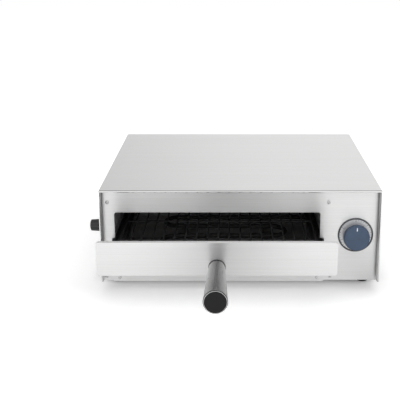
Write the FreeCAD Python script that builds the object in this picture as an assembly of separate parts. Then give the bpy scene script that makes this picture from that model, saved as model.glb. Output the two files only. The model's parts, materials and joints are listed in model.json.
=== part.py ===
# Countertop pizza oven: folded sheet-steel case, a wire rack that pulls out on rails behind a low
# drawer front, a crumb tray under it, a timer on the right and a heat selector on the left side.
# Millimetres. X runs to the right, Y from the front to the back, Z up from the table.
# The model is laid out from the middle of the cover's front edge and moved to its origin at the end.
import FreeCAD
import Part
import math
import os

Vector = FreeCAD.Vector
along_x = Vector(1, 0, 0)
along_y = Vector(0, 1, 0)
along_z = Vector(0, 0, 1)
parallel = 0.999         # cosine from which two directions count as parallel

# Sheets and general clearances
case_sheet = 1.0
chamber_sheet = 0.8
nest_gap = 0.2           # between nested sheets
hole_gap = 0.2           # round a screw, rivet or bush in its hole
cut_margin = 1.0         # how far a cut runs past the sheet it goes through
tightest_bend = 0.25     # inside radius that is left where a bend's own radius runs out
slot_end_share = 0.49    # of a slot's width: just under a full half circle at its ends

# Case
shell_height = 169.0     # underside of the base plate to the top of the cover
foot_height = 16.0
cover_lift = 4.0         # lower edge of the cover above the underside of the base plate
cover_bend = 2.5         # outside radius of the cover's two bends
hem_depth = 12.0         # sheet folded back along the cover's front edge
hem_gap = 1.0            # between the two layers of the hem
hem_round = 1.4
panel_recess = 20.0      # front panel behind the cover's front edge
rear_recess = 2.0        # rear panel in front of the cover's rear edge
rear_bay = 46.0          # chamber's rear wall to the cover's rear edge
panel_flange = 12.0
base_flange = 15.0

# Baking chamber, set to the left to leave room for the controls
chamber_width = 373.0
chamber_depth = 363.0
chamber_height = 147.0   # above the base plate
chamber_flange = 10.0

# Mouth in the front panel, with a notch at each lower corner for the runners
mouth_margin = 8.5       # side of the chamber to the side of the mouth
mouth_offset = 1.2       # middle of the mouth to the left of the chamber's middle
mouth_sill = 64.0        # underside of the base plate to the mouth
mouth_height = 60.8
mouth_radius = 4.0
notch_reach = 6.3
notch_height = 14.5
notch_radius = 1.0

# Drawer front
drawer_pull = 112.5      # how far the drawer stands out from its closed place
drawer_stop_gap = 0.5    # closed drawer front to the front panel
front_overlap = 16.0     # drawer front past each side of the mouth
front_drop = 7.8         # drawer front below the mouth
front_height = 57.3
front_depth = 7.0
front_sheet = 1.0
front_corner = 5.0
front_edge_round = 0.9

# Runners on the drawer, and the rails that they slide in
runner_height = 10.0
runner_sheet = 2.0
runner_side_gap = 0.8    # runner to the side of its notch
runner_lift = 2.0        # runner above the mouth's lower edge
runner_ledge = 18.0      # width of the ledge that carries the rack
runner_tab = 20.0        # end tab behind the drawer front
runner_rear_gap = 24.5   # closed runner to the chamber's rear wall
runner_slack = 0.2       # under the runner in its rail
runner_top_slack = 0.5
rail_sheet = 1.0
rail_rear_gap = 14.0     # rail to the chamber's rear wall
rail_lower_lip = 9.0
rail_upper_lip = 6.0
rail_rivet_inset = 34.0  # first and last rivet from the ends of the rail

# Rack
rack_rod = 5.0
rack_wire = 3.0
rack_wire_count = 17
rack_cross_rod = 4.0
rack_cross_rods = 2
rack_corner = 12.0
rack_front_gap = 11.0    # drawer front's rear edge to the rack
rack_rear_gap = 7.0      # rack to the rear end of the runners
rack_weld = 0.7          # how deep a wire sinks into the frame that it is welded to
rack_cross_weld = 0.45   # how deep it sinks into the thinner cross rods

# Handle
grip_length = 133.0
grip_base_diameter = 26.8
grip_end_diameter = 37.6
grip_base_round = 1.5
grip_end_round = 1.5
handle_rise = 15.0       # handle's axis above the lower edge of the drawer front
washer_diameter = 28.0
washer_thickness = 3.0
cap_diameter = 33.4
cap_proud = 2.0
cap_seat = 4.0
cap_round = 1.0
bolt_diameter = 8.0
bolt_in_grip = 42.0
bolt_end_gap = 2.0
bolt_head_across = 13.0
bolt_head_height = 5.3

# Crumb tray
tray_side_gap = 8.5      # side of the chamber to the tray
tray_rear_gap = 7.0
tray_wall = 12.0
tray_sheet = 0.8
tray_slack = 0.3         # under the tray
tray_slot_gap = 3.0      # slot in the front panel, past each side of the tray and above it
lip_overhang = 9.0       # lip past each side of the tray
lip_drop = 1.5           # lip below the base plate
lip_height = 20.5
lip_sheet = 1.2
lip_chamfer = 4.0
lip_stand_off = 1.0      # lip in front of the front panel
lip_rivet_inset = 5.0    # rivet from the side of the tray
lip_rivet_rise = 4.0     # rivet above the floor of the tray

# Heating elements
element_tube = 8.0
element_pitch = 55.0
element_setback = 74.0   # first run behind the front panel
element_runs = 4
left_bend_margin = 107.0     # centre of the left bends from the chamber's left wall
right_bend_margin = 88.0     # centre of the right bend from the chamber's right wall
element_tail = 20.0          # tube past the chamber's right wall
lower_element_rise = 35.0    # above the base plate
upper_element_drop = 16.0    # below the chamber's roof
terminal_diameter = 3.4
terminal_length = 12.0
bush_diameter = 11.0
bush_flange = 16.0
bush_flange_thickness = 3.0
bush_inner_reach = 2.0
bush_outer_reach = 7.0
bush_gap = 0.1               # tube in its bush
bar_width = 12.0
bar_sheet = 2.0
bar_tab = 12.0
bar_gap = 0.2                # tube above its bar
bar_inset = 14.0             # bars inside the bends

# Timer, right of the chamber
timer_side_gap = 15.0        # case side to the timer's body
timer_chamber_gap = 15.2     # flange of the chamber's wall to the timer's body
timer_rise = 84.0            # above the underside of the base plate
timer_body_size = 52.0
timer_body_depth = 30.0
timer_body_round = 3.0
timer_bush_length = 7.0
bezel_diameter = 61.6
bezel_width = 2.6
bezel_height = 2.2
dial_thickness = 1.0
timer_knob_neck = 34.0       # where the knob meets the dial
timer_knob_diameter = 45.4   # behind the cap that the fingers hold
timer_knob_face = 44.6
timer_knob_cap = 7.0
timer_knob_height = 17.5
timer_knob_gap = 1.5
timer_knob_round = 2.0
timer_knob_wall = 3.0
timer_knob_face_wall = 5.0
pointer_length = 6.0
pointer_width = 1.6
pointer_depth = 0.8
pointer_proud = 0.15
pointer_margin = 3.2

# Heat selector, on the left side
selector_rise = 92.4         # above the underside of the base plate
selector_flange_gap = 1.0    # flange of the front panel to the switch
selector_wall_gap = 4.7      # switch to the chamber's wall
selector_body_diameter = 30.0
selector_body_depth = 9.5
selector_bush_length = 5.0
selector_knob_base = 22.8
selector_knob_end = 19.8
selector_knob_height = 22.8
selector_knob_gap = 1.0
selector_knob_crown = 2.6
selector_knob_wall = 2.0
selector_knob_face_wall = 5.0

# Shafts, bushes and nuts that the two controls share
shaft_diameter = 6.0
shaft_gap = 0.05
shaft_in_body = 6.0
bush_thread = 9.6
nut_across = 14.0
nut_thickness = 3.0
boss_diameter = 12.0
boss_gap = 1.0               # knob's boss in front of the bush

# Rear of the case
vent_width = 4.0
vent_height = 26.0
vent_pitch = 9.0
vent_count = 8
vent_rise = 117.0            # middle of the vents above the underside of the base plate
gland_rise = 29.0
gland_bore = 9.0
gland_body = 16.0
gland_flange = 24.0
gland_flange_thickness = 4.0
gland_nose = 18.0
gland_nose_end = 15.0
gland_nose_length = 8.0
gland_nut_across = 22.0
gland_nut_thickness = 5.0
gland_inner_length = 9.0

# Feet
foot_top_diameter = 26.0
foot_bottom_diameter = 20.0
foot_round = 2.0
foot_front_inset = 60.0
foot_rear_inset = 55.0
foot_recess = 7.0
foot_recess_diameter = 11.0
foot_screw_head = 8.0
foot_screw_head_height = 3.0
foot_screw_shank = 4.0
foot_screw_reach = 4.0       # screw above the base plate

# Screws and rivets
screw_head = 6.4
screw_head_height = 2.2
screw_rim = 1.0
screw_bulge = 0.7            # share of the head's radius at two thirds of its height
screw_shank = 3.5
screw_length = 6.0
panel_screw_outset = 3.2     # upper screws of the front panel, outside the chamber's walls
panel_screw_drop = 5.0       # upper screws below the top of the chamber
sill_screw_outset = 9.0      # lower screws outside the lip of the crumb tray
sill_screw_rise = 7.0        # above the underside of the base plate
side_screw_rise = 6.0        # above the cover's lower edge
rear_side_screw_inset = 42.0 # upper and lower screws of the rear panel's sides
rear_screw_inset = 30.0
rear_screw_rise = 9.0
rivet_head = 6.0
rivet_head_height = 1.2
rivet_shank = 3.2

# Thermostat and terminals in the control bay
thermostat_diameter = 18.0
thermostat_depth = 12.0
thermostat_ear = 1.5
thermostat_ear_width = 9.0
thermostat_ear_length = 36.0
thermostat_setback = 160.0   # behind the front panel
thermostat_rise = 95.0       # above the base plate
block_width = 40.0
block_depth = 22.0
block_height = 18.0
block_bore = 5.0
block_ways = 3
block_rear_gap = 100.0       # rear panel to the terminal block

# Wires between the controls and the elements
wire_diameter = 3.4
link_diameter = 4.2          # thicker wires that join the two elements
wire_bend = 7.0              # radius of the wire's middle line in a bend
wire_in_block = 8.0
link_stand_off = 12.0        # upright links beside the ends of the elements' terminals
timer_feed_drop = 21.0       # wire that feeds the timer, below the timer's middle
timer_feed_gap = 29.0        # behind the timer, to the upright part of that wire
tap_spread = 5.0             # two wires at the thermostat, each from its middle
tap_run = 17.0
rear_tap_rise = 63.0         # wire that feeds the rear link, above the base plate
selector_feed_run = 15.0     # in front of the terminal block
selector_feed_gap = 15.0     # behind the chamber's rear wall

# Widths and depths that add up across the case
chamber_side_gap = case_sheet + selector_body_depth + selector_wall_gap + chamber_sheet
control_bay = chamber_sheet + chamber_flange + timer_chamber_gap + timer_body_size + timer_side_gap
case_width = chamber_side_gap + chamber_width + control_bay
case_depth = panel_recess + case_sheet + chamber_depth + rear_bay
half_case = case_width / 2
inner_case = half_case - case_sheet
sheet_reach = inner_case - nest_gap
half_chamber = chamber_width / 2
chamber_outer = half_chamber + chamber_sheet
chamber_left = chamber_side_gap - half_case
chamber_right = chamber_left + chamber_width
middle = chamber_left + half_chamber     # middle of the chamber, the drawer and the tray
half_mouth = half_chamber - mouth_margin
half_notch = half_mouth + notch_reach
half_front = half_mouth + front_overlap
half_tray = half_chamber - tray_side_gap
half_slot = half_tray + tray_slot_gap
half_lip = half_tray + lip_overhang
timer_x = half_case - timer_side_gap - timer_body_size / 2

# Places from front to back
panel_front = panel_recess
panel_back = panel_front + case_sheet
chamber_back = panel_back + chamber_depth
rear_outside = case_depth - rear_recess
rear_inside = rear_outside - case_sheet
front_rear_edge = panel_front - drawer_stop_gap - drawer_pull
front_face = front_rear_edge - front_depth
front_inside = front_face + front_sheet
runner_end = chamber_back - runner_rear_gap - drawer_pull
rail_start = panel_back + rail_sheet
rail_end = chamber_back - rail_rear_gap
rack_front = front_rear_edge + rack_front_gap
rack_rear = runner_end - rack_rear_gap
grip_start = front_face - washer_thickness
grip_end = grip_start - grip_length
handle_tip = grip_end - cap_proud
lip_back = panel_front - lip_stand_off
lip_front = lip_back - lip_sheet
tray_rear = chamber_back - tray_rear_gap
dial_front = panel_front - dial_thickness
timer_knob_back = dial_front - timer_knob_gap
timer_knob_front = timer_knob_back - timer_knob_height
selector_y = panel_front + panel_flange + selector_flange_gap + selector_body_diameter / 2
gland_tip = rear_outside + gland_flange_thickness + gland_nose_length
run_places = [panel_back + element_setback + i * element_pitch for i in range(element_runs)]

# Places along the drawer's runners, across the oven
runner_outer = half_notch - runner_side_gap
runner_inner = runner_outer - runner_sheet
rack_half = runner_inner - runner_ledge / 2
left_bend = chamber_left + left_bend_margin
right_bend = chamber_right - right_bend_margin
selector_knob_back = -half_case - selector_knob_gap
selector_tip = selector_knob_back - selector_knob_height

# Heights
base_bottom = foot_height
base_top = base_bottom + case_sheet
case_height = base_bottom + shell_height
cover_bottom = base_bottom + cover_lift
cover_ceiling = case_height - case_sheet
sheet_top = cover_ceiling - nest_gap
base_flange_top = base_bottom + base_flange
chamber_top = base_top + chamber_height
mouth_bottom = base_bottom + mouth_sill
mouth_top = mouth_bottom + mouth_height
notch_top = mouth_bottom + notch_height
front_bottom = mouth_bottom - front_drop
front_top = front_bottom + front_height
handle_height = front_bottom + handle_rise
runner_bottom = mouth_bottom + runner_lift
runner_top = runner_bottom + runner_height
ledge_top = runner_bottom + runner_sheet
rail_floor = runner_bottom - runner_slack
rail_ceiling = runner_top + runner_top_slack
rod_height = ledge_top + rack_rod / 2
wire_height = rod_height + (rack_rod + rack_wire) / 2 - rack_weld
cross_height = wire_height - (rack_cross_rod + rack_wire) / 2 + rack_cross_weld
tray_bottom = base_top + tray_slack
tray_top = tray_bottom + tray_wall
lip_bottom = base_bottom - lip_drop
lip_top = lip_bottom + lip_height
lower_element_height = base_top + lower_element_rise
upper_element_height = chamber_top - upper_element_drop
timer_height = base_bottom + timer_rise
selector_height = base_bottom + selector_rise
gland_height = base_bottom + gland_rise

# Radii of holes
shaft_hole = shaft_diameter / 2 + shaft_gap
bush_hole = bush_thread / 2 + hole_gap
bolt_hole = bolt_diameter / 2 + hole_gap
screw_hole = screw_shank / 2 + hole_gap
rivet_hole = rivet_shank / 2 + hole_gap
foot_screw_hole = foot_screw_shank / 2 + hole_gap

# Origin in the middle of the whole oven's footprint, on the table
origin = Vector((selector_tip + half_case + screw_head_height) / 2, (handle_tip + gland_tip) / 2, 0)


def block(x0, x1, y0, y1, z0, z1):
    low = Vector(min(x0, x1), min(y0, y1), min(z0, z1))
    return Part.makeBox(abs(x1 - x0), abs(y1 - y0), abs(z1 - z0), low)


def side_block(side, u0, u1, y0, y1, z0, z1):
    # u counts outwards from the middle of the chamber, to the left for side -1 and to the right for 1
    return block(middle + side * u0, middle + side * u1, y0, y1, z0, z1)


def rod(radius, start, direction, length):
    return Part.makeCylinder(radius, length, start, direction)


def seamed_rod(radius, start, direction, length, seam):
    # rod whose lengthwise seam lies on the given side, away from what is welded to it
    turn = FreeCAD.Rotation(seam, direction.cross(seam), direction, "ZXY")
    piece = Part.makeCylinder(radius, length)
    piece.Placement = FreeCAD.Placement(start, turn)
    return piece


def hole(radius, start, direction, depth):
    # a cylinder that runs past both ends of the hole
    return rod(radius, start - direction * cut_margin, direction, depth + 2 * cut_margin)


def edges_along(shape, direction):
    return [e for e in shape.Edges if abs(e.tangentAt(e.FirstParameter).dot(direction)) > parallel]


def rounded_plate(x0, x1, z0, z1, y0, y1, radius):
    plate = block(x0, x1, y0, y1, z0, z1)
    return plate.makeFillet(radius, edges_along(plate, along_y))


def across_of(axis):
    # a direction square to the axis
    return along_x if abs(axis.z) > 0.5 else along_z


def revolved(outline, centre, axis):
    # each piece of the outline is a line or a three-point arc of (radius, distance along the axis)
    across = across_of(axis)
    edges = []
    for piece in outline:
        points = [centre + across * radius + axis * distance for radius, distance in piece]
        make = Part.Arc if len(points) == 3 else Part.LineSegment
        edges.append(make(*points).toShape())
    return Part.Face(Part.Wire(edges)).revolve(centre, axis, 360)


def rounded_corner(radius, distance, size, forward):
    # quarter circle from (radius - size, distance) to the side that lies at the given radius
    diagonal = size * math.sqrt(0.5)
    inner = distance - forward * size
    halfway = (radius - size + diagonal, inner + forward * diagonal)
    return ((radius - size, distance), halfway, (radius, inner))


def line_through(points):
    return [(points[i], points[i + 1]) for i in range(len(points) - 1)]


def hexagon(across, start, direction, height):
    radius = across / math.sqrt(3)
    side = across_of(direction)
    other = direction.cross(side)
    turns = [math.radians(60 * i) for i in range(7)]
    points = [start + side * (radius * math.cos(t)) + other * (radius * math.sin(t)) for t in turns]
    return Part.Face(Part.makePolygon(points)).extrude(direction * height)


def nut(across, bore, start, direction, height):
    return hexagon(across, start, direction, height).cut(hole(bore, start, direction, height))


def tube(edges, radius):
    # round bar along a flat path, with its seam on the underside
    path = Part.Wire(edges)
    first = path.Edges[0]
    place = first.valueAt(first.FirstParameter)
    tangent = first.tangentAt(first.FirstParameter)
    ring = Part.makeCircle(radius, place, tangent)
    seam = ring.valueAt(ring.FirstParameter) - place
    turn = math.atan2(seam.cross(-along_z).dot(tangent), seam.dot(-along_z))
    ring.rotate(place, tangent, math.degrees(turn))
    return path.makePipeShell([Part.Wire(ring)], True, True)


def insulated_wire(points, diameter=wire_diameter):
    # runs from point to point, with a bend at each square corner
    edges = []
    start = points[0]
    for before, corner, after in zip(points, points[1:], points[2:]):
        back = (before - corner).normalize()
        on = (after - corner).normalize()
        halfway = corner + (back + on) * (wire_bend * (1 - math.sqrt(0.5)))
        edges.append(Part.LineSegment(start, corner + back * wire_bend).toShape())
        edges.append(Part.Arc(corner + back * wire_bend, halfway, corner + on * wire_bend).toShape())
        start = corner + on * wire_bend
    edges.append(Part.LineSegment(start, points[-1]).toShape())
    ring = Part.makeCircle(diameter / 2, points[0], points[1] - points[0])
    return Part.Wire(edges).makePipeShell([Part.Wire(ring)], True, False)


def cut_all(shape, tools):
    for tool in tools:
        shape = shape.cut(tool)
    return shape


def fuse_all(shapes):
    return shapes[0].multiFuse(shapes[1:]).removeSplitter()


def pan_screw(seat, outwards):
    # seat is the point on the outer face of the sheet, under the middle of the head
    head = screw_head / 2
    shank = screw_shank / 2
    bulge = (head * screw_bulge, (screw_rim + 2 * screw_head_height) / 3)
    return revolved(line_through([
        (0, -screw_length),
        (shank, -screw_length),
        (shank, 0),
        (head, 0),
        (head, screw_rim),
        bulge,
        (0, screw_head_height),
        (0, -screw_length),
    ]), seat, outwards)


def rivet(seat, outwards, grip):
    head = rod(rivet_head / 2, seat, outwards, rivet_head_height)
    tail = rod(rivet_head / 2, seat - outwards * grip, -outwards, rivet_head_height)
    return head.fuse(rod(rivet_shank / 2, seat, -outwards, grip)).fuse(tail)


def side_screw_seats():
    # screws through the cover's side walls: seats and outward directions
    low_places = [foot_front_inset, case_depth / 2, case_depth - foot_rear_inset]
    rear_y = rear_outside - panel_flange / 2
    rear_heights = [cover_bottom + rear_side_screw_inset, case_height - rear_side_screw_inset]
    seats = []
    for side in (-1, 1):
        places = [(y, cover_bottom + side_screw_rise) for y in low_places]
        places += [(rear_y, z) for z in rear_heights]
        seats += [(Vector(side * half_case, y, z), along_x * side) for y, z in places]
    return seats


def front_screw_seats():
    upper = (chamber_outer + panel_screw_outset, chamber_top - panel_screw_drop)
    lower = (half_lip + sill_screw_outset, base_bottom + sill_screw_rise)
    return [
        (Vector(middle + side * reach, panel_front, height), -along_y)
        for side in (-1, 1)
        for reach, height in (upper, lower)
    ]


def rear_screw_seats():
    reach = half_case - rear_screw_inset
    height = base_bottom + rear_screw_rise
    return [(Vector(side * reach, rear_outside, height), along_y) for side in (-1, 1)]


def screw_holes(seats):
    return [hole(screw_hole, seat, -outwards, screw_length) for seat, outwards in seats]


def screws(seats):
    return Part.makeCompound([pan_screw(seat, outwards) for seat, outwards in seats])


def rail_rivet_seats():
    # heads lie on the outer faces of the chamber's side walls
    places = [rail_start + rail_rivet_inset, (rail_start + rail_end) / 2, rail_end - rail_rivet_inset]
    height = (rail_floor + rail_ceiling) / 2
    return [
        (Vector(middle + side * chamber_outer, y, height), along_x * side) for side in (-1, 1) for y in places
    ]


def rail_rivet_holes():
    return [hole(rivet_hole, seat, -out, chamber_sheet + rail_sheet) for seat, out in rail_rivet_seats()]


def rail_rivets():
    grip = chamber_sheet + rail_sheet
    return Part.makeCompound([rivet(seat, outwards, grip) for seat, outwards in rail_rivet_seats()])


def foot_places():
    # under the strip between the crumb tray and the chamber's wall, and the same on the other side
    reach = -(chamber_left + tray_side_gap / 2)
    return {
        "foot_front_left": (-reach, foot_front_inset),
        "foot_front_right": (reach, foot_front_inset),
        "foot_rear_left": (-reach, case_depth - foot_rear_inset),
        "foot_rear_right": (reach, case_depth - foot_rear_inset),
    }


def outer_cover():
    # one sheet bent over the oven, with its front edge folded back in an open hem

    def inside(inset, y0, y1):
        bend = max(cover_bend - inset, tightest_bend)
        return arch(half_case - inset, y0, y1, cover_bottom - cut_margin, case_height - inset, bend)

    inner_layer = case_sheet + hem_gap
    hem = inner_layer + case_sheet
    cover = arch(half_case, 0, case_depth, cover_bottom, case_height, cover_bend)
    cover = cover.cut(inside(hem, -cut_margin, hem_depth))
    cover = cover.cut(inside(case_sheet, hem_depth, case_depth + cut_margin))
    above = cover_bottom + cut_margin
    front = [e for e in cover.Edges if e.BoundBox.YMax < cut_margin and e.BoundBox.ZMax > above]
    cover = cover.makeFillet(hem_round, front)
    between = inside(case_sheet, hem / 2, hem_depth + cut_margin)
    cover = cover.cut(between.cut(inside(inner_layer, 0, hem_depth + 2 * cut_margin)))
    selector_hole = hole(bush_hole, Vector(-half_case, selector_y, selector_height), along_x, case_sheet)
    return cut_all(cover, [selector_hole] + screw_holes(side_screw_seats()))


def arch(reach, y0, y1, bottom, top, radius):
    # block with its two long upper edges rounded
    body = block(-reach, reach, y0, y1, bottom, top)
    upper = [e for e in edges_along(body, along_y) if e.BoundBox.ZMin > bottom]
    return body.makeFillet(radius, upper)


def folded_panel(y_face, inwards):
    # flat sheet with flanges along its top and sides, rounded to nest under the cover's bends
    y_inside = y_face + inwards * case_sheet
    y_flange = y_face + inwards * panel_flange
    y_past = y_flange + inwards * cut_margin
    below = base_bottom - cut_margin
    inner_reach = sheet_reach - case_sheet
    inner_bend = max(cover_bend - case_sheet, tightest_bend)
    panel = arch(sheet_reach, y_face, y_flange, base_bottom, sheet_top, cover_bend)
    hollow = arch(inner_reach, y_inside, y_past, below, sheet_top - case_sheet, inner_bend)
    lower = block(-inner_case, inner_case, y_inside, y_past, below, base_flange_top + nest_gap)
    return panel.cut(hollow).cut(lower)


def front_panel():
    panel = folded_panel(panel_front, 1)
    before = panel_front - cut_margin
    behind = panel_back + cut_margin
    mouth_left = middle - mouth_offset - half_mouth
    mouth = rounded_plate(
        mouth_left, mouth_left + 2 * half_mouth, mouth_bottom, mouth_top, before, behind, mouth_radius
    )
    notches = rounded_plate(
        middle - half_notch, middle + half_notch, mouth_bottom, notch_top, before, behind, notch_radius
    )
    slot = block(middle - half_slot, middle + half_slot, before, behind, base_top, tray_top + tray_slot_gap)
    timer_hole = hole(bush_hole, Vector(timer_x, panel_front, timer_height), along_y, case_sheet)
    return cut_all(panel, [mouth, notches, slot, timer_hole] + screw_holes(front_screw_seats()))


def rear_panel():
    panel = folded_panel(rear_outside, -1)
    low = base_bottom + vent_rise - vent_height / 2
    vents = []
    for i in range(vent_count):
        left = timer_x + (i - (vent_count - 1) / 2) * vent_pitch - vent_width / 2
        vents.append(rounded_plate(
            left, left + vent_width, low, low + vent_height,
            rear_inside - cut_margin, rear_outside + cut_margin, vent_width * slot_end_share,
        ))
    gland = hole(gland_body / 2 + hole_gap, Vector(timer_x, rear_inside, gland_height), along_y, case_sheet)
    return cut_all(panel, vents + [gland] + screw_holes(rear_screw_seats() + side_screw_seats()))


def base_plate():
    top = base_flange_top
    side_end = rear_outside - panel_flange - nest_gap
    tab_start = chamber_outer + nest_gap
    plate = fuse_all([
        block(-sheet_reach, sheet_reach, panel_back, rear_inside, base_bottom, base_top),
        block(-sheet_reach, case_sheet - sheet_reach, panel_back, side_end, base_bottom, top),
        block(sheet_reach - case_sheet, sheet_reach, panel_back, side_end, base_bottom, top),
        block(-sheet_reach, sheet_reach, rear_inside - case_sheet, rear_inside, base_bottom, top),
        block(-sheet_reach, middle - tab_start, panel_back, panel_back + case_sheet, base_bottom, top),
        block(middle + tab_start, sheet_reach, panel_back, panel_back + case_sheet, base_bottom, top),
    ])
    foot_holes = [
        hole(foot_screw_hole, Vector(x, y, base_bottom), along_z, case_sheet)
        for x, y in foot_places().values()
    ]
    seats = side_screw_seats() + front_screw_seats() + rear_screw_seats()
    return cut_all(plate, foot_holes + screw_holes(seats))


def chamber_wall(side):
    fold = chamber_outer + chamber_flange
    under_roof = chamber_top - chamber_sheet
    behind_panel = panel_back + chamber_sheet
    low = base_flange_top + nest_gap
    wall = fuse_all([
        side_block(side, half_chamber, chamber_outer, panel_back, chamber_back, base_top, chamber_top),
        side_block(side, half_chamber, fold, panel_back, chamber_back, under_roof, chamber_top),
        side_block(side, half_chamber, fold, panel_back, behind_panel, low, chamber_top),
    ])
    holes = rail_rivet_holes() + screw_holes(front_screw_seats())
    if side > 0:
        bush = bush_diameter / 2 + hole_gap
        holes += [hole(bush, point, along_x, chamber_sheet) for point in element_wall_points()]
    return cut_all(wall, holes)


def chamber_roof():
    reach = chamber_outer + chamber_flange
    start = panel_back + nest_gap
    return side_block(1, -reach, reach, start, chamber_back, chamber_top, chamber_top + chamber_sheet)


def chamber_rear_wall():
    # upright sheet with a foot that stands on the base plate
    top = chamber_top + chamber_sheet
    upright = side_block(
        1, -chamber_outer, chamber_outer, chamber_back, chamber_back + chamber_sheet, base_top, top
    )
    foot = side_block(
        1, -half_chamber, half_chamber, chamber_back, chamber_back + chamber_flange,
        base_top, base_top + chamber_sheet,
    )
    return fuse_all([upright, foot])


def rail(side):
    # channel on the chamber's wall, open towards the drawer
    web = half_chamber - rail_sheet
    lower = half_chamber - rail_lower_lip
    upper = half_chamber - rail_upper_lip
    bottom = rail_floor - rail_sheet
    top = rail_ceiling + rail_sheet
    channel = fuse_all([
        side_block(side, web, half_chamber, rail_start, rail_end, bottom, top),
        side_block(side, lower, half_chamber, rail_start, rail_end, bottom, rail_floor),
        side_block(side, upper, half_chamber, rail_start, rail_end, rail_ceiling, top),
    ])
    return cut_all(channel, rail_rivet_holes())


def element_wall_points():
    # where the tubes of both elements pass the chamber's right wall
    return [
        Vector(chamber_right, y, z)
        for z in (lower_element_height, upper_element_height)
        for y in (run_places[0], run_places[-1])
    ]


def heating_element(height):
    # runs across the chamber, each turned into the next by a half circle
    tail = chamber_right + element_tail
    turns = [left_bend, right_bend]
    x = tail
    edges = []
    for i, y in enumerate(run_places):
        last = i == element_runs - 1
        stop = tail if last else turns[i % 2]
        edges.append(Part.LineSegment(Vector(x, y, height), Vector(stop, y, height)).toShape())
        if not last:
            bulge = element_pitch / 2 * (1 if i % 2 else -1)
            edges.append(Part.Arc(
                Vector(stop, y, height),
                Vector(stop + bulge, y + element_pitch / 2, height),
                Vector(stop, y + element_pitch, height),
            ).toShape())
        x = stop
    return tube(edges, element_tube / 2)


def element_bushes():
    bushes = []
    length = bush_inner_reach + chamber_sheet + bush_outer_reach
    for point in element_wall_points():
        start = point - along_x * bush_inner_reach
        body = rod(bush_diameter / 2, start, along_x, length)
        flange = rod(bush_flange / 2, point + along_x * chamber_sheet, along_x, bush_flange_thickness)
        bushes.append(fuse_all([body, flange]).cut(hole(element_tube / 2 + bush_gap, start, along_x, length)))
    return Part.makeCompound(bushes)


def element_terminals():
    return Part.makeCompound([
        rod(terminal_diameter / 2, point + along_x * element_tail, along_x, terminal_length)
        for point in element_wall_points()
    ])


def element_bars(height, tabs_up):
    # two flat bars under the tubes, bent to tabs on the front panel and on the chamber's rear wall
    top = height - element_tube / 2 - bar_gap
    bottom = top - bar_sheet
    tab_bottom = bottom if tabs_up else top - bar_tab
    tab_top = bottom + bar_tab if tabs_up else top
    bars = []
    for x in (left_bend + bar_inset, right_bend - bar_inset):
        x0 = x - bar_width / 2
        x1 = x + bar_width / 2
        bars.append(fuse_all([
            block(x0, x1, panel_back, chamber_back, bottom, top),
            block(x0, x1, panel_back, panel_back + bar_sheet, tab_bottom, tab_top),
            block(x0, x1, chamber_back - bar_sheet, chamber_back, tab_bottom, tab_top),
        ]))
    return Part.makeCompound(bars)


def drawer_front():
    # shallow pan with its open side to the oven
    x0 = middle - half_front
    x1 = middle + half_front
    pan = rounded_plate(x0, x1, front_bottom, front_top, front_face, front_rear_edge, front_corner)
    rim = [e for e in pan.Edges if e.BoundBox.YMax < front_face + cut_margin]
    pan = pan.makeFillet(front_edge_round, rim)
    inside = rounded_plate(
        x0 + front_sheet, x1 - front_sheet, front_bottom + front_sheet, front_top - front_sheet,
        front_inside, front_rear_edge + cut_margin, front_corner - front_sheet,
    )
    bolt = hole(bolt_hole, Vector(middle, front_face, handle_height), along_y, front_sheet)
    return pan.cut(inside).cut(bolt)


def runner(side):
    # angle strip: the upright leg runs in the rail, the ledge carries the rack, the tab holds the front
    ledge = runner_inner - runner_ledge
    tab = runner_inner - runner_tab
    tab_back = front_inside + runner_sheet
    return fuse_all([
        side_block(side, runner_inner, runner_outer, front_inside, runner_end, runner_bottom, runner_top),
        side_block(side, ledge, runner_outer, front_inside, runner_end, runner_bottom, ledge_top),
        side_block(side, tab, runner_outer, front_inside, tab_back, runner_bottom, runner_top),
    ])


def rack():
    # welded wire rack: a closed frame of rod, cross rods and wires that run from front to back
    x0 = middle - rack_half
    x1 = middle + rack_half
    radius = rack_rod / 2
    y0 = rack_front + radius
    y1 = rack_rear - radius
    down = -along_z
    pieces = []
    for y in (y0, y1):
        start = Vector(x0 + rack_corner, y, rod_height)
        pieces.append(seamed_rod(radius, start, along_x, x1 - x0 - 2 * rack_corner, down))
    for x in (x0, x1):
        start = Vector(x, y0 + rack_corner, rod_height)
        pieces.append(seamed_rod(radius, start, along_y, y1 - y0 - 2 * rack_corner, down))
    for i in range(rack_cross_rods):
        start = Vector(x0, y0 + (i + 1) * (y1 - y0) / (rack_cross_rods + 1), cross_height)
        pieces.append(seamed_rod(rack_cross_rod / 2, start, along_x, x1 - x0, down))
    corners = [(x1, y1, -1, -1), (x0, y1, 1, -1), (x0, y0, 1, 1), (x1, y0, -1, 1)]
    for i, (x, y, x_inwards, y_inwards) in enumerate(corners):
        centre = Vector(x + x_inwards * rack_corner, y + y_inwards * rack_corner, rod_height)
        bend = Part.makeTorus(rack_corner, radius, centre, along_z, 0, 360, 90)
        bend.rotate(centre, along_z, 90 * i)
        pieces.append(bend)
    for i in range(rack_wire_count):
        x = x0 + (i + 1) * (x1 - x0) / (rack_wire_count + 1)
        start = Vector(x, rack_front, wire_height)
        pieces.append(seamed_rod(rack_wire / 2, start, along_y, rack_rear - rack_front, along_z))
    return pieces[0].multiFuse(pieces[1:])


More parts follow.
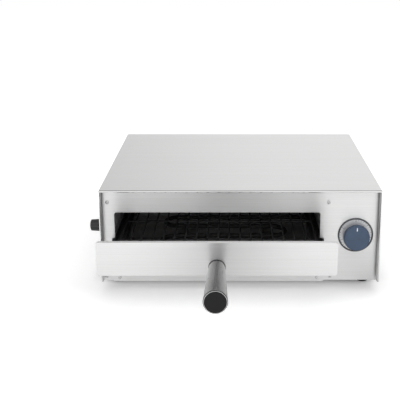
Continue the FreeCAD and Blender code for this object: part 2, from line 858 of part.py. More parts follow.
def handle_grip():
    # tapered round grip, with a blind bore for the bolt and a seat for the end cap
    seat = cap_diameter / 2 + hole_gap
    seat_floor = grip_length - cap_seat
    bore_end = bolt_in_grip + bolt_end_gap
    base = rounded_corner(grip_base_diameter / 2, 0, grip_base_round, -1)
    end = rounded_corner(grip_end_diameter / 2, grip_length, grip_end_round, 1)
    outline = [((bolt_hole, 0), base[0]), base, (base[2], end[2]), end[::-1]]
    outline += line_through([
        end[0], (seat, grip_length), (seat, seat_floor), (0, seat_floor),
        (0, bore_end), (bolt_hole, bore_end), (bolt_hole, 0),
    ])
    return revolved(outline, Vector(middle, grip_start, handle_height), -along_y)


def handle_cap():
    start = Vector(middle, grip_end + cap_seat, handle_height)
    height = cap_seat + cap_proud
    rim = rounded_corner(cap_diameter / 2, height, cap_round, 1)
    outline = line_through([(0, height), (0, 0), (cap_diameter / 2, 0), rim[2]])
    outline += [rim[::-1], (rim[0], (0, height))]
    return revolved(outline, start, -along_y)


def handle_washer():
    start = Vector(middle, front_face, handle_height)
    ring = rod(washer_diameter / 2, start, -along_y, washer_thickness)
    return ring.cut(hole(bolt_hole, start, -along_y, washer_thickness))


def handle_bolt():
    start = Vector(middle, front_inside, handle_height)
    head = hexagon(bolt_head_across, start, along_y, bolt_head_height)
    return head.fuse(rod(bolt_diameter / 2, start, -along_y, front_sheet + washer_thickness + bolt_in_grip))


def tray_rivet_seats():
    reach = half_tray - lip_rivet_inset
    return [Vector(middle + side * reach, lip_front, tray_bottom + lip_rivet_rise) for side in (-1, 1)]


def tray_rivet_holes():
    return [hole(rivet_hole, seat, along_y, lip_sheet + tray_sheet) for seat in tray_rivet_seats()]


def crumb_tray():
    pan = block(middle - half_tray, middle + half_tray, lip_back, tray_rear, tray_bottom, tray_top)
    inner = half_tray - tray_sheet
    hollow = block(
        middle - inner, middle + inner, lip_back + tray_sheet, tray_rear - tray_sheet,
        tray_bottom + tray_sheet, tray_top + cut_margin,
    )
    return cut_all(pan.cut(hollow), tray_rivet_holes())


def crumb_tray_lip():
    plate = block(middle - half_lip, middle + half_lip, lip_front, lip_back, lip_bottom, lip_top)
    lower = [e for e in edges_along(plate, along_y) if e.BoundBox.ZMax < lip_top]
    return cut_all(plate.makeChamfer(lip_chamfer, lower), tray_rivet_holes())


def crumb_tray_rivets():
    grip = lip_sheet + tray_sheet
    return Part.makeCompound([rivet(seat, -along_y, grip) for seat in tray_rivet_seats()])


def timer_bezel():
    outer = bezel_diameter / 2
    inner = outer - bezel_width
    shoulder = bezel_height / 2
    outline = line_through([(inner, shoulder), (inner, 0), (outer, 0), (outer, shoulder)])
    outline.append(((outer, shoulder), ((outer + inner) / 2, bezel_height), (inner, shoulder)))
    return revolved(outline, Vector(timer_x, panel_front, timer_height), -along_y)


def timer_dial():
    start = Vector(timer_x, panel_front, timer_height)
    plate = rod(bezel_diameter / 2 - bezel_width - hole_gap, start, -along_y, dial_thickness)
    return plate.cut(hole(bush_hole, start, -along_y, dial_thickness))


def bushed_body(body, start, outwards, bush_length):
    # adds a threaded bush to a control's body, and the bore for its shaft
    bush = rod(bush_thread / 2, start, outwards, bush_length)
    bore = rod(shaft_hole, start - outwards * shaft_in_body, outwards, shaft_in_body + bush_length)
    return fuse_all([body, bush]).cut(bore)


def timer_body():
    half = timer_body_size / 2
    body = rounded_plate(
        timer_x - half, timer_x + half, timer_height - half, timer_height + half,
        panel_back, panel_back + timer_body_depth, timer_body_round,
    )
    return bushed_body(body, Vector(timer_x, panel_back, timer_height), -along_y, timer_bush_length)


def timer_nut():
    start = Vector(timer_x, dial_front, timer_height)
    return nut(nut_across, bush_thread / 2 + shaft_gap, start, -along_y, nut_thickness)


def knob_inside(hollow, floor, boss_start, bore_end):
    # outline of a knob's inside, from its rim to the bottom of the shaft's bore
    boss = boss_diameter / 2
    return line_through([
        (0, bore_end), (shaft_hole, bore_end), (shaft_hole, boss_start), (boss, boss_start),
        (boss, floor), (hollow, floor), (hollow, 0),
    ])


def timer_knob():
    # flat cap on a neck that narrows towards the dial
    neck = timer_knob_neck / 2
    hollow = neck - timer_knob_wall
    top = timer_knob_height
    floor = top - timer_knob_face_wall
    bore_end = top - timer_knob_face_wall / 2
    bush_end = timer_bush_length - case_sheet - dial_thickness - timer_knob_gap
    rim = rounded_corner(timer_knob_face / 2, top, timer_knob_round, 1)
    cap_back = (timer_knob_diameter / 2, top - timer_knob_cap)
    outline = line_through([(hollow, 0), (neck, 0), cap_back, rim[2]])
    outline += [rim[::-1], (rim[0], (0, top)), ((0, top), (0, bore_end))]
    outline += knob_inside(hollow, floor, bush_end + boss_gap, bore_end)
    knob = revolved(outline, Vector(timer_x, timer_knob_back, timer_height), -along_y)
    return knob.cut(pointer_bar(cut_margin))


def pointer_bar(proud):
    top = timer_height + timer_knob_face / 2 - pointer_margin
    return block(
        timer_x - pointer_width / 2, timer_x + pointer_width / 2,
        timer_knob_front - proud, timer_knob_front + pointer_depth, top - pointer_length, top,
    )


def timer_shaft():
    start = panel_back + shaft_in_body - shaft_gap
    end = timer_knob_front + timer_knob_face_wall / 2 + shaft_gap
    return rod(shaft_diameter / 2, Vector(timer_x, start, timer_height), -along_y, start - end)


def selector_switch():
    start = Vector(-inner_case, selector_y, selector_height)
    body = rod(selector_body_diameter / 2, start, along_x, selector_body_depth)
    return bushed_body(body, start, -along_x, selector_bush_length)


def selector_nut():
    start = Vector(-half_case, selector_y, selector_height)
    return nut(nut_across, bush_thread / 2 + shaft_gap, start, -along_x, nut_thickness)


def selector_knob():
    base = selector_knob_base / 2
    end = selector_knob_end / 2
    crown = selector_knob_crown
    top = selector_knob_height
    shoulder = top - crown
    hollow = base - selector_knob_wall
    floor = shoulder - selector_knob_face_wall
    bush_end = selector_bush_length - case_sheet - selector_knob_gap
    dome = (end * end + crown * crown) / (2 * crown)
    half_turn = math.asin(end / dome) / 2
    dome_middle = (dome * math.sin(half_turn), top - dome * (1 - math.cos(half_turn)))
    bore_end = floor + selector_knob_face_wall / 2
    outline = line_through([(hollow, 0), (base, 0), (end, shoulder)])
    outline += [((end, shoulder), dome_middle, (0, top)), ((0, top), (0, bore_end))]
    outline += knob_inside(hollow, floor, bush_end + boss_gap, bore_end)
    return revolved(outline, Vector(selector_knob_back, selector_y, selector_height), -along_x)


def selector_shaft():
    start = shaft_in_body - shaft_gap - inner_case
    knob_depth = selector_knob_height - selector_knob_crown - selector_knob_face_wall / 2 - shaft_gap
    end = selector_knob_back - knob_depth
    return rod(shaft_diameter / 2, Vector(start, selector_y, selector_height), -along_x, start - end)


def thermostat_seat():
    return Vector(chamber_right + chamber_sheet, panel_back + thermostat_setback, base_top + thermostat_rise)


def thermostat():
    # round cup on the chamber's right wall, held by two ears
    start = thermostat_seat()
    cup = rod(thermostat_diameter / 2, start, along_x, thermostat_depth)
    ears = block(
        start.x, start.x + thermostat_ear,
        start.y - thermostat_ear_length / 2, start.y + thermostat_ear_length / 2,
        start.z - thermostat_ear_width / 2, start.z + thermostat_ear_width / 2,
    )
    return fuse_all([cup, ears])


def block_way_places():
    # middles of the bores on the front of the terminal block, from left to right
    pitch = block_width / block_ways
    y = rear_inside - block_rear_gap - block_depth
    first = timer_x - block_width / 2 + pitch / 2
    return [Vector(first + i * pitch, y, base_top + block_height / 2) for i in range(block_ways)]


def terminal_block():
    ways = block_way_places()
    half = block_width / 2
    front = ways[0].y
    top = base_top + block_height
    body = block(timer_x - half, timer_x + half, front, front + block_depth, base_top, top)
    return cut_all(body, [hole(block_bore / 2, way, along_y, block_depth) for way in ways])


def element_link(y):
    # joins the ends of the two elements beside the chamber
    start = chamber_right + element_tail + terminal_length
    side = start + link_stand_off
    return insulated_wire([
        Vector(start, y, lower_element_height), Vector(side, y, lower_element_height),
        Vector(side, y, upper_element_height), Vector(start, y, upper_element_height),
    ], link_diameter)


def wiring():
    left_way, middle_way, right_way = [way + along_y * wire_in_block for way in block_way_places()]
    height = left_way.z
    timer_back = panel_back + timer_body_depth
    feed_y = timer_back + timer_feed_gap
    feed_z = timer_height - timer_feed_drop
    timer_feed = insulated_wire([
        left_way, Vector(left_way.x, feed_y, height), Vector(left_way.x, feed_y, feed_z),
        Vector(left_way.x, timer_back, feed_z),
    ])
    cup = thermostat_seat() + along_x * thermostat_depth
    tap = cup + along_y * tap_spread
    timer_lead = insulated_wire([Vector(timer_x, timer_back, tap.z), Vector(timer_x, tap.y, tap.z), tap])
    link_x = chamber_right + element_tail + terminal_length + link_stand_off
    tap = cup - along_y * tap_spread
    front_y = run_places[0]
    turn = tap + along_x * tap_run
    front_tap = insulated_wire([
        tap, turn, Vector(turn.x, front_y, turn.z), Vector(link_x, front_y, turn.z),
    ])
    rear_y = run_places[-1]
    rear_z = base_top + rear_tap_rise
    rear_tap = insulated_wire([
        right_way, Vector(right_way.x, rear_y, height), Vector(right_way.x, rear_y, rear_z),
        Vector(link_x, rear_y, rear_z),
    ])
    up_y = middle_way.y - wire_in_block - selector_feed_run
    behind = chamber_back + chamber_sheet + selector_feed_gap
    side = selector_body_depth / 2 - inner_case
    selector_feed = insulated_wire([
        middle_way, Vector(timer_x, up_y, height), Vector(timer_x, up_y, selector_height),
        Vector(timer_x, behind, selector_height), Vector(side, behind, selector_height),
        Vector(side, selector_y + selector_body_diameter / 2, selector_height),
    ])
    front_wires = fuse_all([element_link(front_y), front_tap])
    rear_wires = fuse_all([element_link(rear_y), rear_tap])
    return Part.makeCompound([timer_feed, timer_lead, front_wires, rear_wires, selector_feed])


def cable_gland():
    seat = Vector(timer_x, rear_outside, gland_height)
    inner = case_sheet + gland_inner_length
    nose_start = seat + along_y * gland_flange_thickness
    pieces = [
        rod(gland_flange / 2, seat, along_y, gland_flange_thickness),
        Part.makeCone(gland_nose / 2, gland_nose_end / 2, gland_nose_length, nose_start, along_y),
        rod(gland_body / 2, seat, -along_y, inner),
    ]
    length = inner + gland_flange_thickness + gland_nose_length
    return fuse_all(pieces).cut(hole(gland_bore / 2, seat - along_y * inner, along_y, length))


def gland_nut():
    start = Vector(timer_x, rear_inside, gland_height)
    return nut(gland_nut_across, gland_body / 2 + shaft_gap, start, -along_y, gland_nut_thickness)


def foot(x, y):
    place = Vector(x, y, 0)
    body = Part.makeCone(foot_bottom_diameter / 2, foot_top_diameter / 2, foot_height, place, along_z)
    body = body.makeFillet(foot_round, [e for e in body.Edges if e.BoundBox.ZMax < cut_margin])
    recess = rod(foot_recess_diameter / 2, place, along_z, foot_recess)
    return body.cut(recess).cut(hole(foot_screw_hole, place, along_z, foot_height))


def foot_screws():
    pieces = []
    length = base_top - foot_recess + foot_screw_reach
    for x, y in foot_places().values():
        seat = Vector(x, y, foot_recess)
        head = rod(foot_screw_head / 2, seat, -along_z, foot_screw_head_height)
        pieces.append(fuse_all([head, rod(foot_screw_shank / 2, seat, along_z, length)]))
    return Part.makeCompound(pieces)


def all_pieces():
    pieces = {
        "outer_cover": outer_cover(),
        "front_panel": front_panel(),
        "rear_panel": rear_panel(),
        "base_plate": base_plate(),
        "chamber_left_wall": chamber_wall(-1),
        "chamber_right_wall": chamber_wall(1),
        "chamber_roof": chamber_roof(),
        "chamber_rear_wall": chamber_rear_wall(),
        "left_rail": rail(-1),
        "right_rail": rail(1),
        "rail_rivets": rail_rivets(),
        "lower_element": heating_element(lower_element_height),
        "upper_element": heating_element(upper_element_height),
        "lower_element_bars": element_bars(lower_element_height, False),
        "upper_element_bars": element_bars(upper_element_height, True),
        "element_bushes": element_bushes(),
        "element_terminals": element_terminals(),
        "drawer_front": drawer_front(),
        "left_runner": runner(-1),
        "right_runner": runner(1),
        "rack": rack(),
        "handle_grip": handle_grip(),
        "handle_cap": handle_cap(),
        "handle_washer": handle_washer(),
        "handle_bolt": handle_bolt(),
        "crumb_tray": crumb_tray(),
        "crumb_tray_lip": crumb_tray_lip(),
        "crumb_tray_rivets": crumb_tray_rivets(),
        "timer_bezel": timer_bezel(),
        "timer_dial": timer_dial(),
        "timer_body": timer_body(),
        "timer_nut": timer_nut(),
        "timer_knob": timer_knob(),
        "timer_pointer": pointer_bar(pointer_proud),
        "timer_shaft": timer_shaft(),
        "selector_switch": selector_switch(),
        "selector_nut": selector_nut(),
        "selector_knob": selector_knob(),
        "selector_shaft": selector_shaft(),
        "thermostat": thermostat(),
        "terminal_block": terminal_block(),
        "wiring": wiring(),
        "cable_gland": cable_gland(),
        "gland_nut": gland_nut(),
        "foot_screws": foot_screws(),
        "front_panel_screws": screws(front_screw_seats()),
        "cover_screws": screws(side_screw_seats()),
        "rear_panel_screws": screws(rear_screw_seats()),
    }
    for name, (x, y) in foot_places().items():
        pieces[name] = foot(x, y)
    return pieces


def main():
    os.makedirs("parts", exist_ok=True)
    for name, shape in all_pieces().items():
        shape.translate(-origin)
        shape.exportStep(f"parts/{name}.step")


main()
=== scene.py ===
import json
import math
from functools import reduce
import bmesh
import bpy
from mathutils import Matrix, Vector


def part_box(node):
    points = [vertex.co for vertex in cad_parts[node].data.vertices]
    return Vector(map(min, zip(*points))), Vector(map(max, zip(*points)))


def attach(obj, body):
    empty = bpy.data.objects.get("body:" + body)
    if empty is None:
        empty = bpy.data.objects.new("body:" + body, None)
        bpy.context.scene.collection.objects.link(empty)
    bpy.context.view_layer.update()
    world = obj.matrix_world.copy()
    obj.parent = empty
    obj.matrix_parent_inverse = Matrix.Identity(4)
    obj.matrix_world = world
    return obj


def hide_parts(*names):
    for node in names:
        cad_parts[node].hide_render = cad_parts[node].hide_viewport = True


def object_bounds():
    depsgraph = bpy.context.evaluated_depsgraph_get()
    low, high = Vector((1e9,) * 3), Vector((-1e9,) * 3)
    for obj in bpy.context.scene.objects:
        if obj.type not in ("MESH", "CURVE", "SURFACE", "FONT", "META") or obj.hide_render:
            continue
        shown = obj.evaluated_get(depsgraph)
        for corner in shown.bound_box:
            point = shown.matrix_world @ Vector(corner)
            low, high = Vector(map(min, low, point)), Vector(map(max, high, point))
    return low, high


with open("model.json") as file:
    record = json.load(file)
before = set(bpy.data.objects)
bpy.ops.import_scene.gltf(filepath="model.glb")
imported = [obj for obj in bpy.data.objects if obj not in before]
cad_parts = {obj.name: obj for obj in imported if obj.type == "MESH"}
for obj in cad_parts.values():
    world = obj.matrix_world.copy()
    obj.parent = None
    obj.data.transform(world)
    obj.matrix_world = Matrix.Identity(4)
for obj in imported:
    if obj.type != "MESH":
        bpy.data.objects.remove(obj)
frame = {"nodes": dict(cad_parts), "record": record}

mm = 0.001
weldReach = 0.001 * mm    # points closer than this are one
cadLow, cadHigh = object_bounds()
cadNodes = frame["nodes"]
slotOfNode = {part["node"]: part["material_slot"] for part in frame["record"]["subparts"]}
bodyOfNode = {
    node: body for body, members in frame["record"]["behaviour"]["bodies"].items() for node in members
}
print("frame loaded:", len(cadNodes), "nodes")


def boxMiddle(node):
    low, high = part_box(node)
    return (low + high) / 2


def newObject(name, data):
    made = bpy.data.objects.new(name, data)
    bpy.context.scene.collection.objects.link(made)
    return made


# The camera stands where the photograph was taken from
photoCamera = {
    "place": (-0.0033, -1.4885, 0.6027),
    "pitchDown": 15.74,      # degrees
    "lens": 77.265,
    "sensor": 36.0,
    "shift": (-0.0803, -0.06),
}


def makeCamera(spec):
    data = bpy.data.cameras.new("camera")
    data.lens = spec["lens"]
    data.sensor_width = spec["sensor"]
    data.shift_x, data.shift_y = spec["shift"]
    camera = newObject("camera", data)
    camera.location = spec["place"]
    camera.rotation_euler = (math.radians(90 - spec["pitchDown"]), 0, 0)
    bpy.context.scene.camera = camera


makeCamera(photoCamera)
bpy.context.scene.view_settings.view_transform = "Standard"
print("camera placed")


# Node helpers: a value is a number, a vector or the output of another node
def put(node, key, value):
    if isinstance(value, bpy.types.NodeSocket):
        node.id_data.links.new(value, node.inputs[key])
    else:
        node.inputs[key].default_value = value


def addNode(tree, kind, values=None, **settings):
    node = tree.nodes.new(kind)
    for key, value in settings.items():
        setattr(node, key, value)
    for key, value in (values or {}).items():
        put(node, key, value)
    return node


def out(tree, kind, values=None, **settings):
    # the first output in use of a new node
    node = addNode(tree, kind, values, **settings)
    return next(socket for socket in node.outputs if socket.enabled)


def treeOf(values):
    # the tree of the first output among some values
    return next(value.id_data for value in values if isinstance(value, bpy.types.NodeSocket))


def calc(operation, *values):
    return out(treeOf(values), "ShaderNodeMath", dict(enumerate(values)), operation=operation)


def times(*values):
    return reduce(lambda first, second: calc("MULTIPLY", first, second), values)


def plus(*values):
    return reduce(lambda first, second: calc("ADD", first, second), values)


def vectorCalc(operation, *values):
    return out(treeOf(values), "ShaderNodeVectorMath", dict(enumerate(values)), operation=operation)


def ranged(value, fromLow, fromHigh, toLow, toHigh, smooth=False):
    values = {"Value": value, "From Min": fromLow, "From Max": fromHigh, "To Min": toLow, "To Max": toHigh}
    kind = "SMOOTHSTEP" if smooth else "LINEAR"
    return out(value.id_data, "ShaderNodeMapRange", values, interpolation_type=kind)


def mixed(factor, first, second):
    values = {"Factor": factor, "A": first, "B": second}
    return out(treeOf(values.values()), "ShaderNodeMix", values, data_type="FLOAT")


def split(vector):
    return addNode(vector.id_data, "ShaderNodeSeparateXYZ", {"Vector": vector}).outputs


def joined(**parts):
    return out(treeOf(parts.values()), "ShaderNodeCombineXYZ", parts)


def mirroredRay(path):
    return calc("MAXIMUM", path["Is Glossy Ray"], path["Is Transmission Ray"])


# Studio: white surroundings, a broad lamp above, two softboxes and a fill in front, a dark card between
# Four numbers: on the way from the first to the second, a level goes from the third to the fourth
studio = {
    "skyLevel": 0.62,                         # what the surroundings give to matt surfaces
    "frontLevel": 1.0,                        # what metal sees in front of the oven
    "behind": (-0.24, 0.06, 0.66, 1.0),       # what metal sees behind it, from left to right
    "turn": (-0.2, 0.2, 0.0, 1.0),            # where the front gives way to the back
    "sides": (0.3, 0.65, 1.0, 0.72),          # share of it that is seen to the left and right
    "overhead": (0.78, 0.94, 1.0, 0.8),       # and straight above
    "floorSize": 12.0,
    "floorGap": 0.2 * mm,                     # the floor lies this far under the feet
    "floorColour": 0.88,
    "shadeInset": 0.05,                       # the painted shade under the case starts this far inside it
    "shadeSpread": 0.4,                       # less than 1 lets the painted shade reach further to the sides
    "underGlow": (0.010, 0.034, 0.0, 0.27),   # glow that lifts the floor to white, kept low near the case to paint its shadow: under the case,
    "besideGlow": (0.05, 0.15, 0.0, 0.17),    # then added beside it,
    "farGlow": (0.45, 1.8, 0.0, 0.20),        # and towards the horizon
    "mirroredGlow": (0.0, 0.6, 0.0, 0.46),    # painted reflection: what metal sees of the floor, darker near the case
    "paintedReflectionDip": (0.0, 0.18, 0.1, 1.0),             # painted dark band in the reflection straight in front of the handle
    "sillGlow": (0.04, 0.10, 0.36, 0.0),      # painted lighter reflection added close to the lip of the crumb tray
    "mirroredColour": (0.05, 0.30, 0.66, 0.88),    # the floor's colour as metal sees it, painted darker near the case
    "cardPlace": (-0.012, -0.86, 0.25),
    "cardSize": (0.26, 0.9),
    "cardLevel": 0.3,
}


def makeWorld(spec):
    world = bpy.data.worlds.new("surroundings")
    bpy.context.scene.world = world
    world.use_nodes = True
    world.cycles.sampling_method = "NONE"
    tree = world.node_tree
    heading = split(addNode(tree, "ShaderNodeTexCoord").outputs["Generated"])
    behind = ranged(heading["X"], *spec["behind"], smooth=True)
    isBehind = ranged(heading["Y"], *spec["turn"], smooth=True)
    overhead = ranged(heading["Z"], *spec["overhead"], smooth=True)
    beside = ranged(calc("ABSOLUTE", heading["X"]), *spec["sides"], smooth=True)
    seen = times(mixed(isBehind, spec["frontLevel"], behind), overhead, beside)
    path = addNode(tree, "ShaderNodeLightPath").outputs
    level = mixed(mirroredRay(path), spec["skyLevel"], seen)
    background = tree.nodes["Background"]
    put(background, "Color", (1, 1, 1, 1))
    put(background, "Strength", mixed(path["Is Camera Ray"], level, 1.0))


def newFinish(name, colour=(1, 1, 1), metallic=0.0):
    finish = bpy.data.materials.new(name)
    finish.use_nodes = True
    shader = finish.node_tree.nodes["Principled BSDF"]
    put(shader, "Base Color", (*colour, 1))
    put(shader, "Metallic", metallic)
    return finish, finish.node_tree, shader


def emptyFinish(name):
    finish, tree, shader = newFinish(name)
    tree.nodes.remove(shader)
    return finish, tree, tree.nodes["Material Output"]


def makePlane(name, finish, middle, across, up):
    # across and up are half of its sides
    middle, across, up = Vector(middle), Vector(across), Vector(up)
    corners = [middle - across - up, middle + across - up, middle + across + up, middle - across + up]
    mesh = bpy.data.meshes.new(name)
    mesh.from_pydata(corners, [], [range(4)])
    mesh.materials.append(finish)
    plane = newObject(name, mesh)
    return plane


def floorDistance(place, node, inset=0.0, spread=1.0):
    # how far a point on the floor lies outside a node's footprint, drawn in by an inset
    low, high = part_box(node)
    half = (high - low) / 2 - Vector((inset, inset, 0))
    reach = vectorCalc("ABSOLUTE", vectorCalc("SUBTRACT", place, (low + high) / 2))
    outside = vectorCalc("MAXIMUM", vectorCalc("SUBTRACT", reach, half), (0, 0, 0))
    return vectorCalc("LENGTH", vectorCalc("MULTIPLY", outside, (spread, 1, 0)))


def makeFloor(spec):
    finish, tree, end = emptyFinish("floorWhite")
    path = addNode(tree, "ShaderNodeLightPath").outputs
    place = addNode(tree, "ShaderNodeTexCoord").outputs["Object"]
    # painted shadow: the camera sees less glow near the case, so the floor is painted darker under and
    # beside it
    shaded = floorDistance(place, "base_plate", spec["shadeInset"], spec["shadeSpread"])
    under = ranged(shaded, *spec["underGlow"])
    beside = ranged(shaded, *spec["besideGlow"], smooth=True)
    far = ranged(vectorCalc("LENGTH", place), *spec["farGlow"], smooth=True)
    direct = times(plus(under, beside, far), path["Is Camera Ray"])
    # painted reflection: for metal, the floor is painted darker near the case and in front of the handle,
    # and lighter by the crumb tray lip
    outside = floorDistance(place, "base_plate")
    clearFloor = ranged(outside, *spec["mirroredGlow"])
    aside = calc("ABSOLUTE", calc("SUBTRACT", split(place)["X"], spec["cardPlace"][0]))
    paintedReflectionDip = ranged(aside, *spec["paintedReflectionDip"])
    byLip = floorDistance(place, "crumb_tray_lip")
    sill = ranged(byLip, *spec["sillGlow"], smooth=True)
    turned = mirroredRay(path)
    mirrored = times(plus(times(clearFloor, paintedReflectionDip), sill), turned)
    paintedShadeColour = ranged(outside, *spec["mirroredColour"], smooth=True)
    matt = out(tree, "ShaderNodeBsdfDiffuse", {"Color": mixed(turned, spec["floorColour"], paintedShadeColour)})
    glow = out(tree, "ShaderNodeEmission", {"Strength": plus(direct, mirrored)})
    put(end, "Surface", out(tree, "ShaderNodeAddShader", {0: matt, 1: glow}))
    half = spec["floorSize"] / 2
    makePlane("floor", finish, (0, 0, cadLow.z - spec["floorGap"]), (half, 0, 0), (0, half, 0))


def makeCard(spec):
    # narrow card with soft sides, seen only in reflections
    finish, tree, end = emptyFinish("cardGrey")
    width, height = spec["cardSize"]
    place = split(addNode(tree, "ShaderNodeTexCoord").outputs["Object"])
    reach = calc("ABSOLUTE", calc("SUBTRACT", place["X"], spec["cardPlace"][0]))
    put(end, "Surface", out(tree, "ShaderNodeMixShader", {
        "Fac": ranged(reach, 0.0, width / 2, 0.0, 1.0, smooth=True),
        1: out(tree, "ShaderNodeEmission", {"Strength": spec["cardLevel"]}),
        2: out(tree, "ShaderNodeBsdfTransparent"),
    }))
    card = makePlane("card", finish, spec["cardPlace"], (width / 2, 0, 0), (0, 0, height / 2))
    card.visible_camera = False
    card.visible_diffuse = False
    card.visible_shadow = False


lampAim = Vector((0, 0, 0.09))
lamps = {
    "topLamp": {"place": (0.15, 0.25, 1.9), "size": (2.2, 1.6), "watts": 13.0, "mirrored": False},
    "leftBox": {"place": (-1.5, -1.3, 1.15), "size": (1.0, 1.6), "watts": 4.0, "mirrored": True},
    "rightBox": {"place": (1.6, -1.1, 1.25), "size": (1.0, 1.6), "watts": 4.0, "mirrored": True},
    "frontFill": {"place": (0.0, -1.7, 0.42), "size": (1.2, 0.5), "watts": 5.0, "mirrored": False},
}


def makeLamps(specs):
    for name, spec in specs.items():
        data = bpy.data.lights.new(name, "AREA")
        data.shape = "RECTANGLE"
        data.size, data.size_y = spec["size"]
        data.energy = spec["watts"]
        lamp = newObject(name, data)
        lamp.visible_glossy = spec["mirrored"]
        lamp.location = spec["place"]
        lamp.rotation_euler = (lampAim - lamp.location).to_track_quat("-Z", "Y").to_euler()


makeWorld(studio)
makeFloor(studio)
makeCard(studio)
makeLamps(lamps)
print("studio lit")


# Finishes
def objectPlace(tree, scale=(1, 1, 1), centre=(0, 0, 0)):
    # Object coordinates, counted from centre and stretched
    place = addNode(tree, "ShaderNodeTexCoord").outputs["Object"]
    return vectorCalc("MULTIPLY", vectorCalc("SUBTRACT", place, centre), scale)


def noiseAt(place, scale=1.0, detail=3.0, rough=0.5):
    values = {"Vector": place, "Scale": scale, "Detail": detail, "Roughness": rough}
    return out(place.id_data, "ShaderNodeTexNoise", values)


def toned(value, colour, shades, low=0.3, high=0.7):
    # runs from the darker to the lighter shade of a colour
    ramp = addNode(value.id_data, "ShaderNodeValToRGB", {"Fac": value})
    for element, position, shade in zip(ramp.color_ramp.elements, (low, high), shades):
        element.position = position
        element.color = (*[part * shade for part in colour], 1)
    return ramp.outputs["Color"]


def glossed(value, roughness, low=0.25, high=0.75):
    return ranged(value, low, high, *roughness)


def patterned(shader, value, colour, shades, roughness):
    # tone and gloss follow one pattern
    put(shader, "Base Color", toned(value, colour, shades))
    put(shader, "Roughness", glossed(value, roughness))


def relief(shader, height, look, **under):
    values = {"Height": height, "Distance": look["depth"], "Strength": look["strength"], **under}
    put(shader, "Normal", out(shader.id_data, "ShaderNodeBump", values))


brushed = {
    "colour": (0.81, 0.81, 0.807),
    "roughness": (0.34, 0.44),
    "hairline": (14, 2600, 2600),    # fine grain across the oven, in cycles per metre
    "hairlineSides": (2600, 2600, 14),
    "depth": 0.01 * mm,
    "strength": 0.35,
    "streak": (3.5, 620, 620),       # broader streaks of the brushing
    "streakSides": (620, 620, 3.5),
    "streakShare": 0.5,
    "shades": (0.95, 1.04),
    "wave": 5.0,
    "waveDepth": 0.35 * mm,          # the sheet isn't quite flat
    "anisotropy": 0.85,
    "tangent": {"X": 0.0, "Y": 1.0, "Z": 0.05},    # square to the grain
    "facing": 0.7,                   # a face turns to a side where its normal is past this
    "hemDepth": 1.5 * mm,            # the folded front edge of the cover is smoother
    "hemShare": 0.25,
    "drawerGap": 20 * mm,            # the drawer front stands at least this far in front of the case
    "backRoughness": 0.6,            # the back of the drawer front isn't brushed
    "innerReach": -0.1,              # an inner side faces the middle, from further off than this
    "innerPaintedShade": 0.75,              # painted shade: the inner sides of the cover, in the recess, are darkened
    "paintedEdgeLineReach": (1.3 * mm, 5.5 * mm),    # painted dark line behind the folded edge, for the dark reflection on its bend
    "paintedEdgeLineShade": 0.5,
    "paintedEdgeLineFacing": 0.9,
}


def brushedSteel(name, spec, colour=None):
    base = colour or spec["colour"]
    finish, tree, shader = newFinish(name, base, 1.0)
    put(shader, "Anisotropic", spec["anisotropy"])
    facing = split(addNode(tree, "ShaderNodeNewGeometry").outputs["Normal"])
    onSide = calc("GREATER_THAN", calc("ABSOLUTE", facing["X"]), spec["facing"])

    def grain(front, sides, detail):
        # lines run across the oven on the front and top, and upright on its sides
        places = {"Factor": onSide, 4: objectPlace(tree, front), 5: objectPlace(tree, sides)}
        return noiseAt(out(tree, "ShaderNodeMix", places, data_type="VECTOR"), detail=detail)

    fine = grain(spec["hairline"], spec["hairlineSides"], detail=3.0)
    broad = grain(spec["streak"], spec["streakSides"], detail=2.0)
    caseLow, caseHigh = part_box("outer_cover")
    halfDepth = (caseHigh.y - caseLow.y) / 2
    place = split(objectPlace(tree, centre=(caseLow + caseHigh) / 2))

    # painted shade on the inner sides of the cover, darkening its base colour
    isInner = calc("LESS_THAN", times(place["X"], facing["X"]), spec["innerReach"])
    # painted dark reflection: a darker line on the top, just behind the folded front edge
    start, end = [reach - halfDepth for reach in spec["paintedEdgeLineReach"]]
    onPaintedEdgeLine = calc("COMPARE", place["Y"], (start + end) / 2, (end - start) / 2)
    onPaintedEdgeLine = times(onPaintedEdgeLine, calc("GREATER_THAN", facing["Z"], spec["paintedEdgeLineFacing"]))
    line = mixed(onPaintedEdgeLine, 1.0, spec["paintedEdgeLineShade"])
    shade = times(mixed(isInner, 1.0, spec["innerPaintedShade"]), line)
    tone = toned(mixed(spec["streakShare"], fine, broad), base, spec["shades"])
    paintedShadeColour = out(tree, "ShaderNodeVectorMath", {0: tone, "Scale": shade}, operation="SCALE")
    put(shader, "Base Color", paintedShadeColour)

    hemMiddle = (0, caseLow.y + spec["hemDepth"] / 2, 0)
    fromHem = calc("ABSOLUTE", split(objectPlace(tree, centre=hemMiddle))["Y"])
    onHem = calc("LESS_THAN", fromHem, spec["hemDepth"] / 2)
    smoother = mixed(onHem, 1.0, spec["hemShare"])
    rough = times(glossed(fine, spec["roughness"]), smoother)
    inFront = calc("LESS_THAN", place["Y"], -halfDepth - spec["drawerGap"])
    onBack = times(inFront, calc("GREATER_THAN", facing["Y"], spec["facing"]))
    put(shader, "Roughness", mixed(onBack, rough, spec["backRoughness"]))

    soft = out(tree, "ShaderNodeBump", {
        "Height": noiseAt(objectPlace(tree), spec["wave"], detail=1.0),
        "Distance": spec["waveDepth"],
        "Strength": mixed(onHem, 1.0, 0.0),
    })
    relief(shader, fine, spec, Normal=soft)
    put(shader, "Tangent", out(tree, "ShaderNodeCombineXYZ", spec["tangent"]))
    return finish


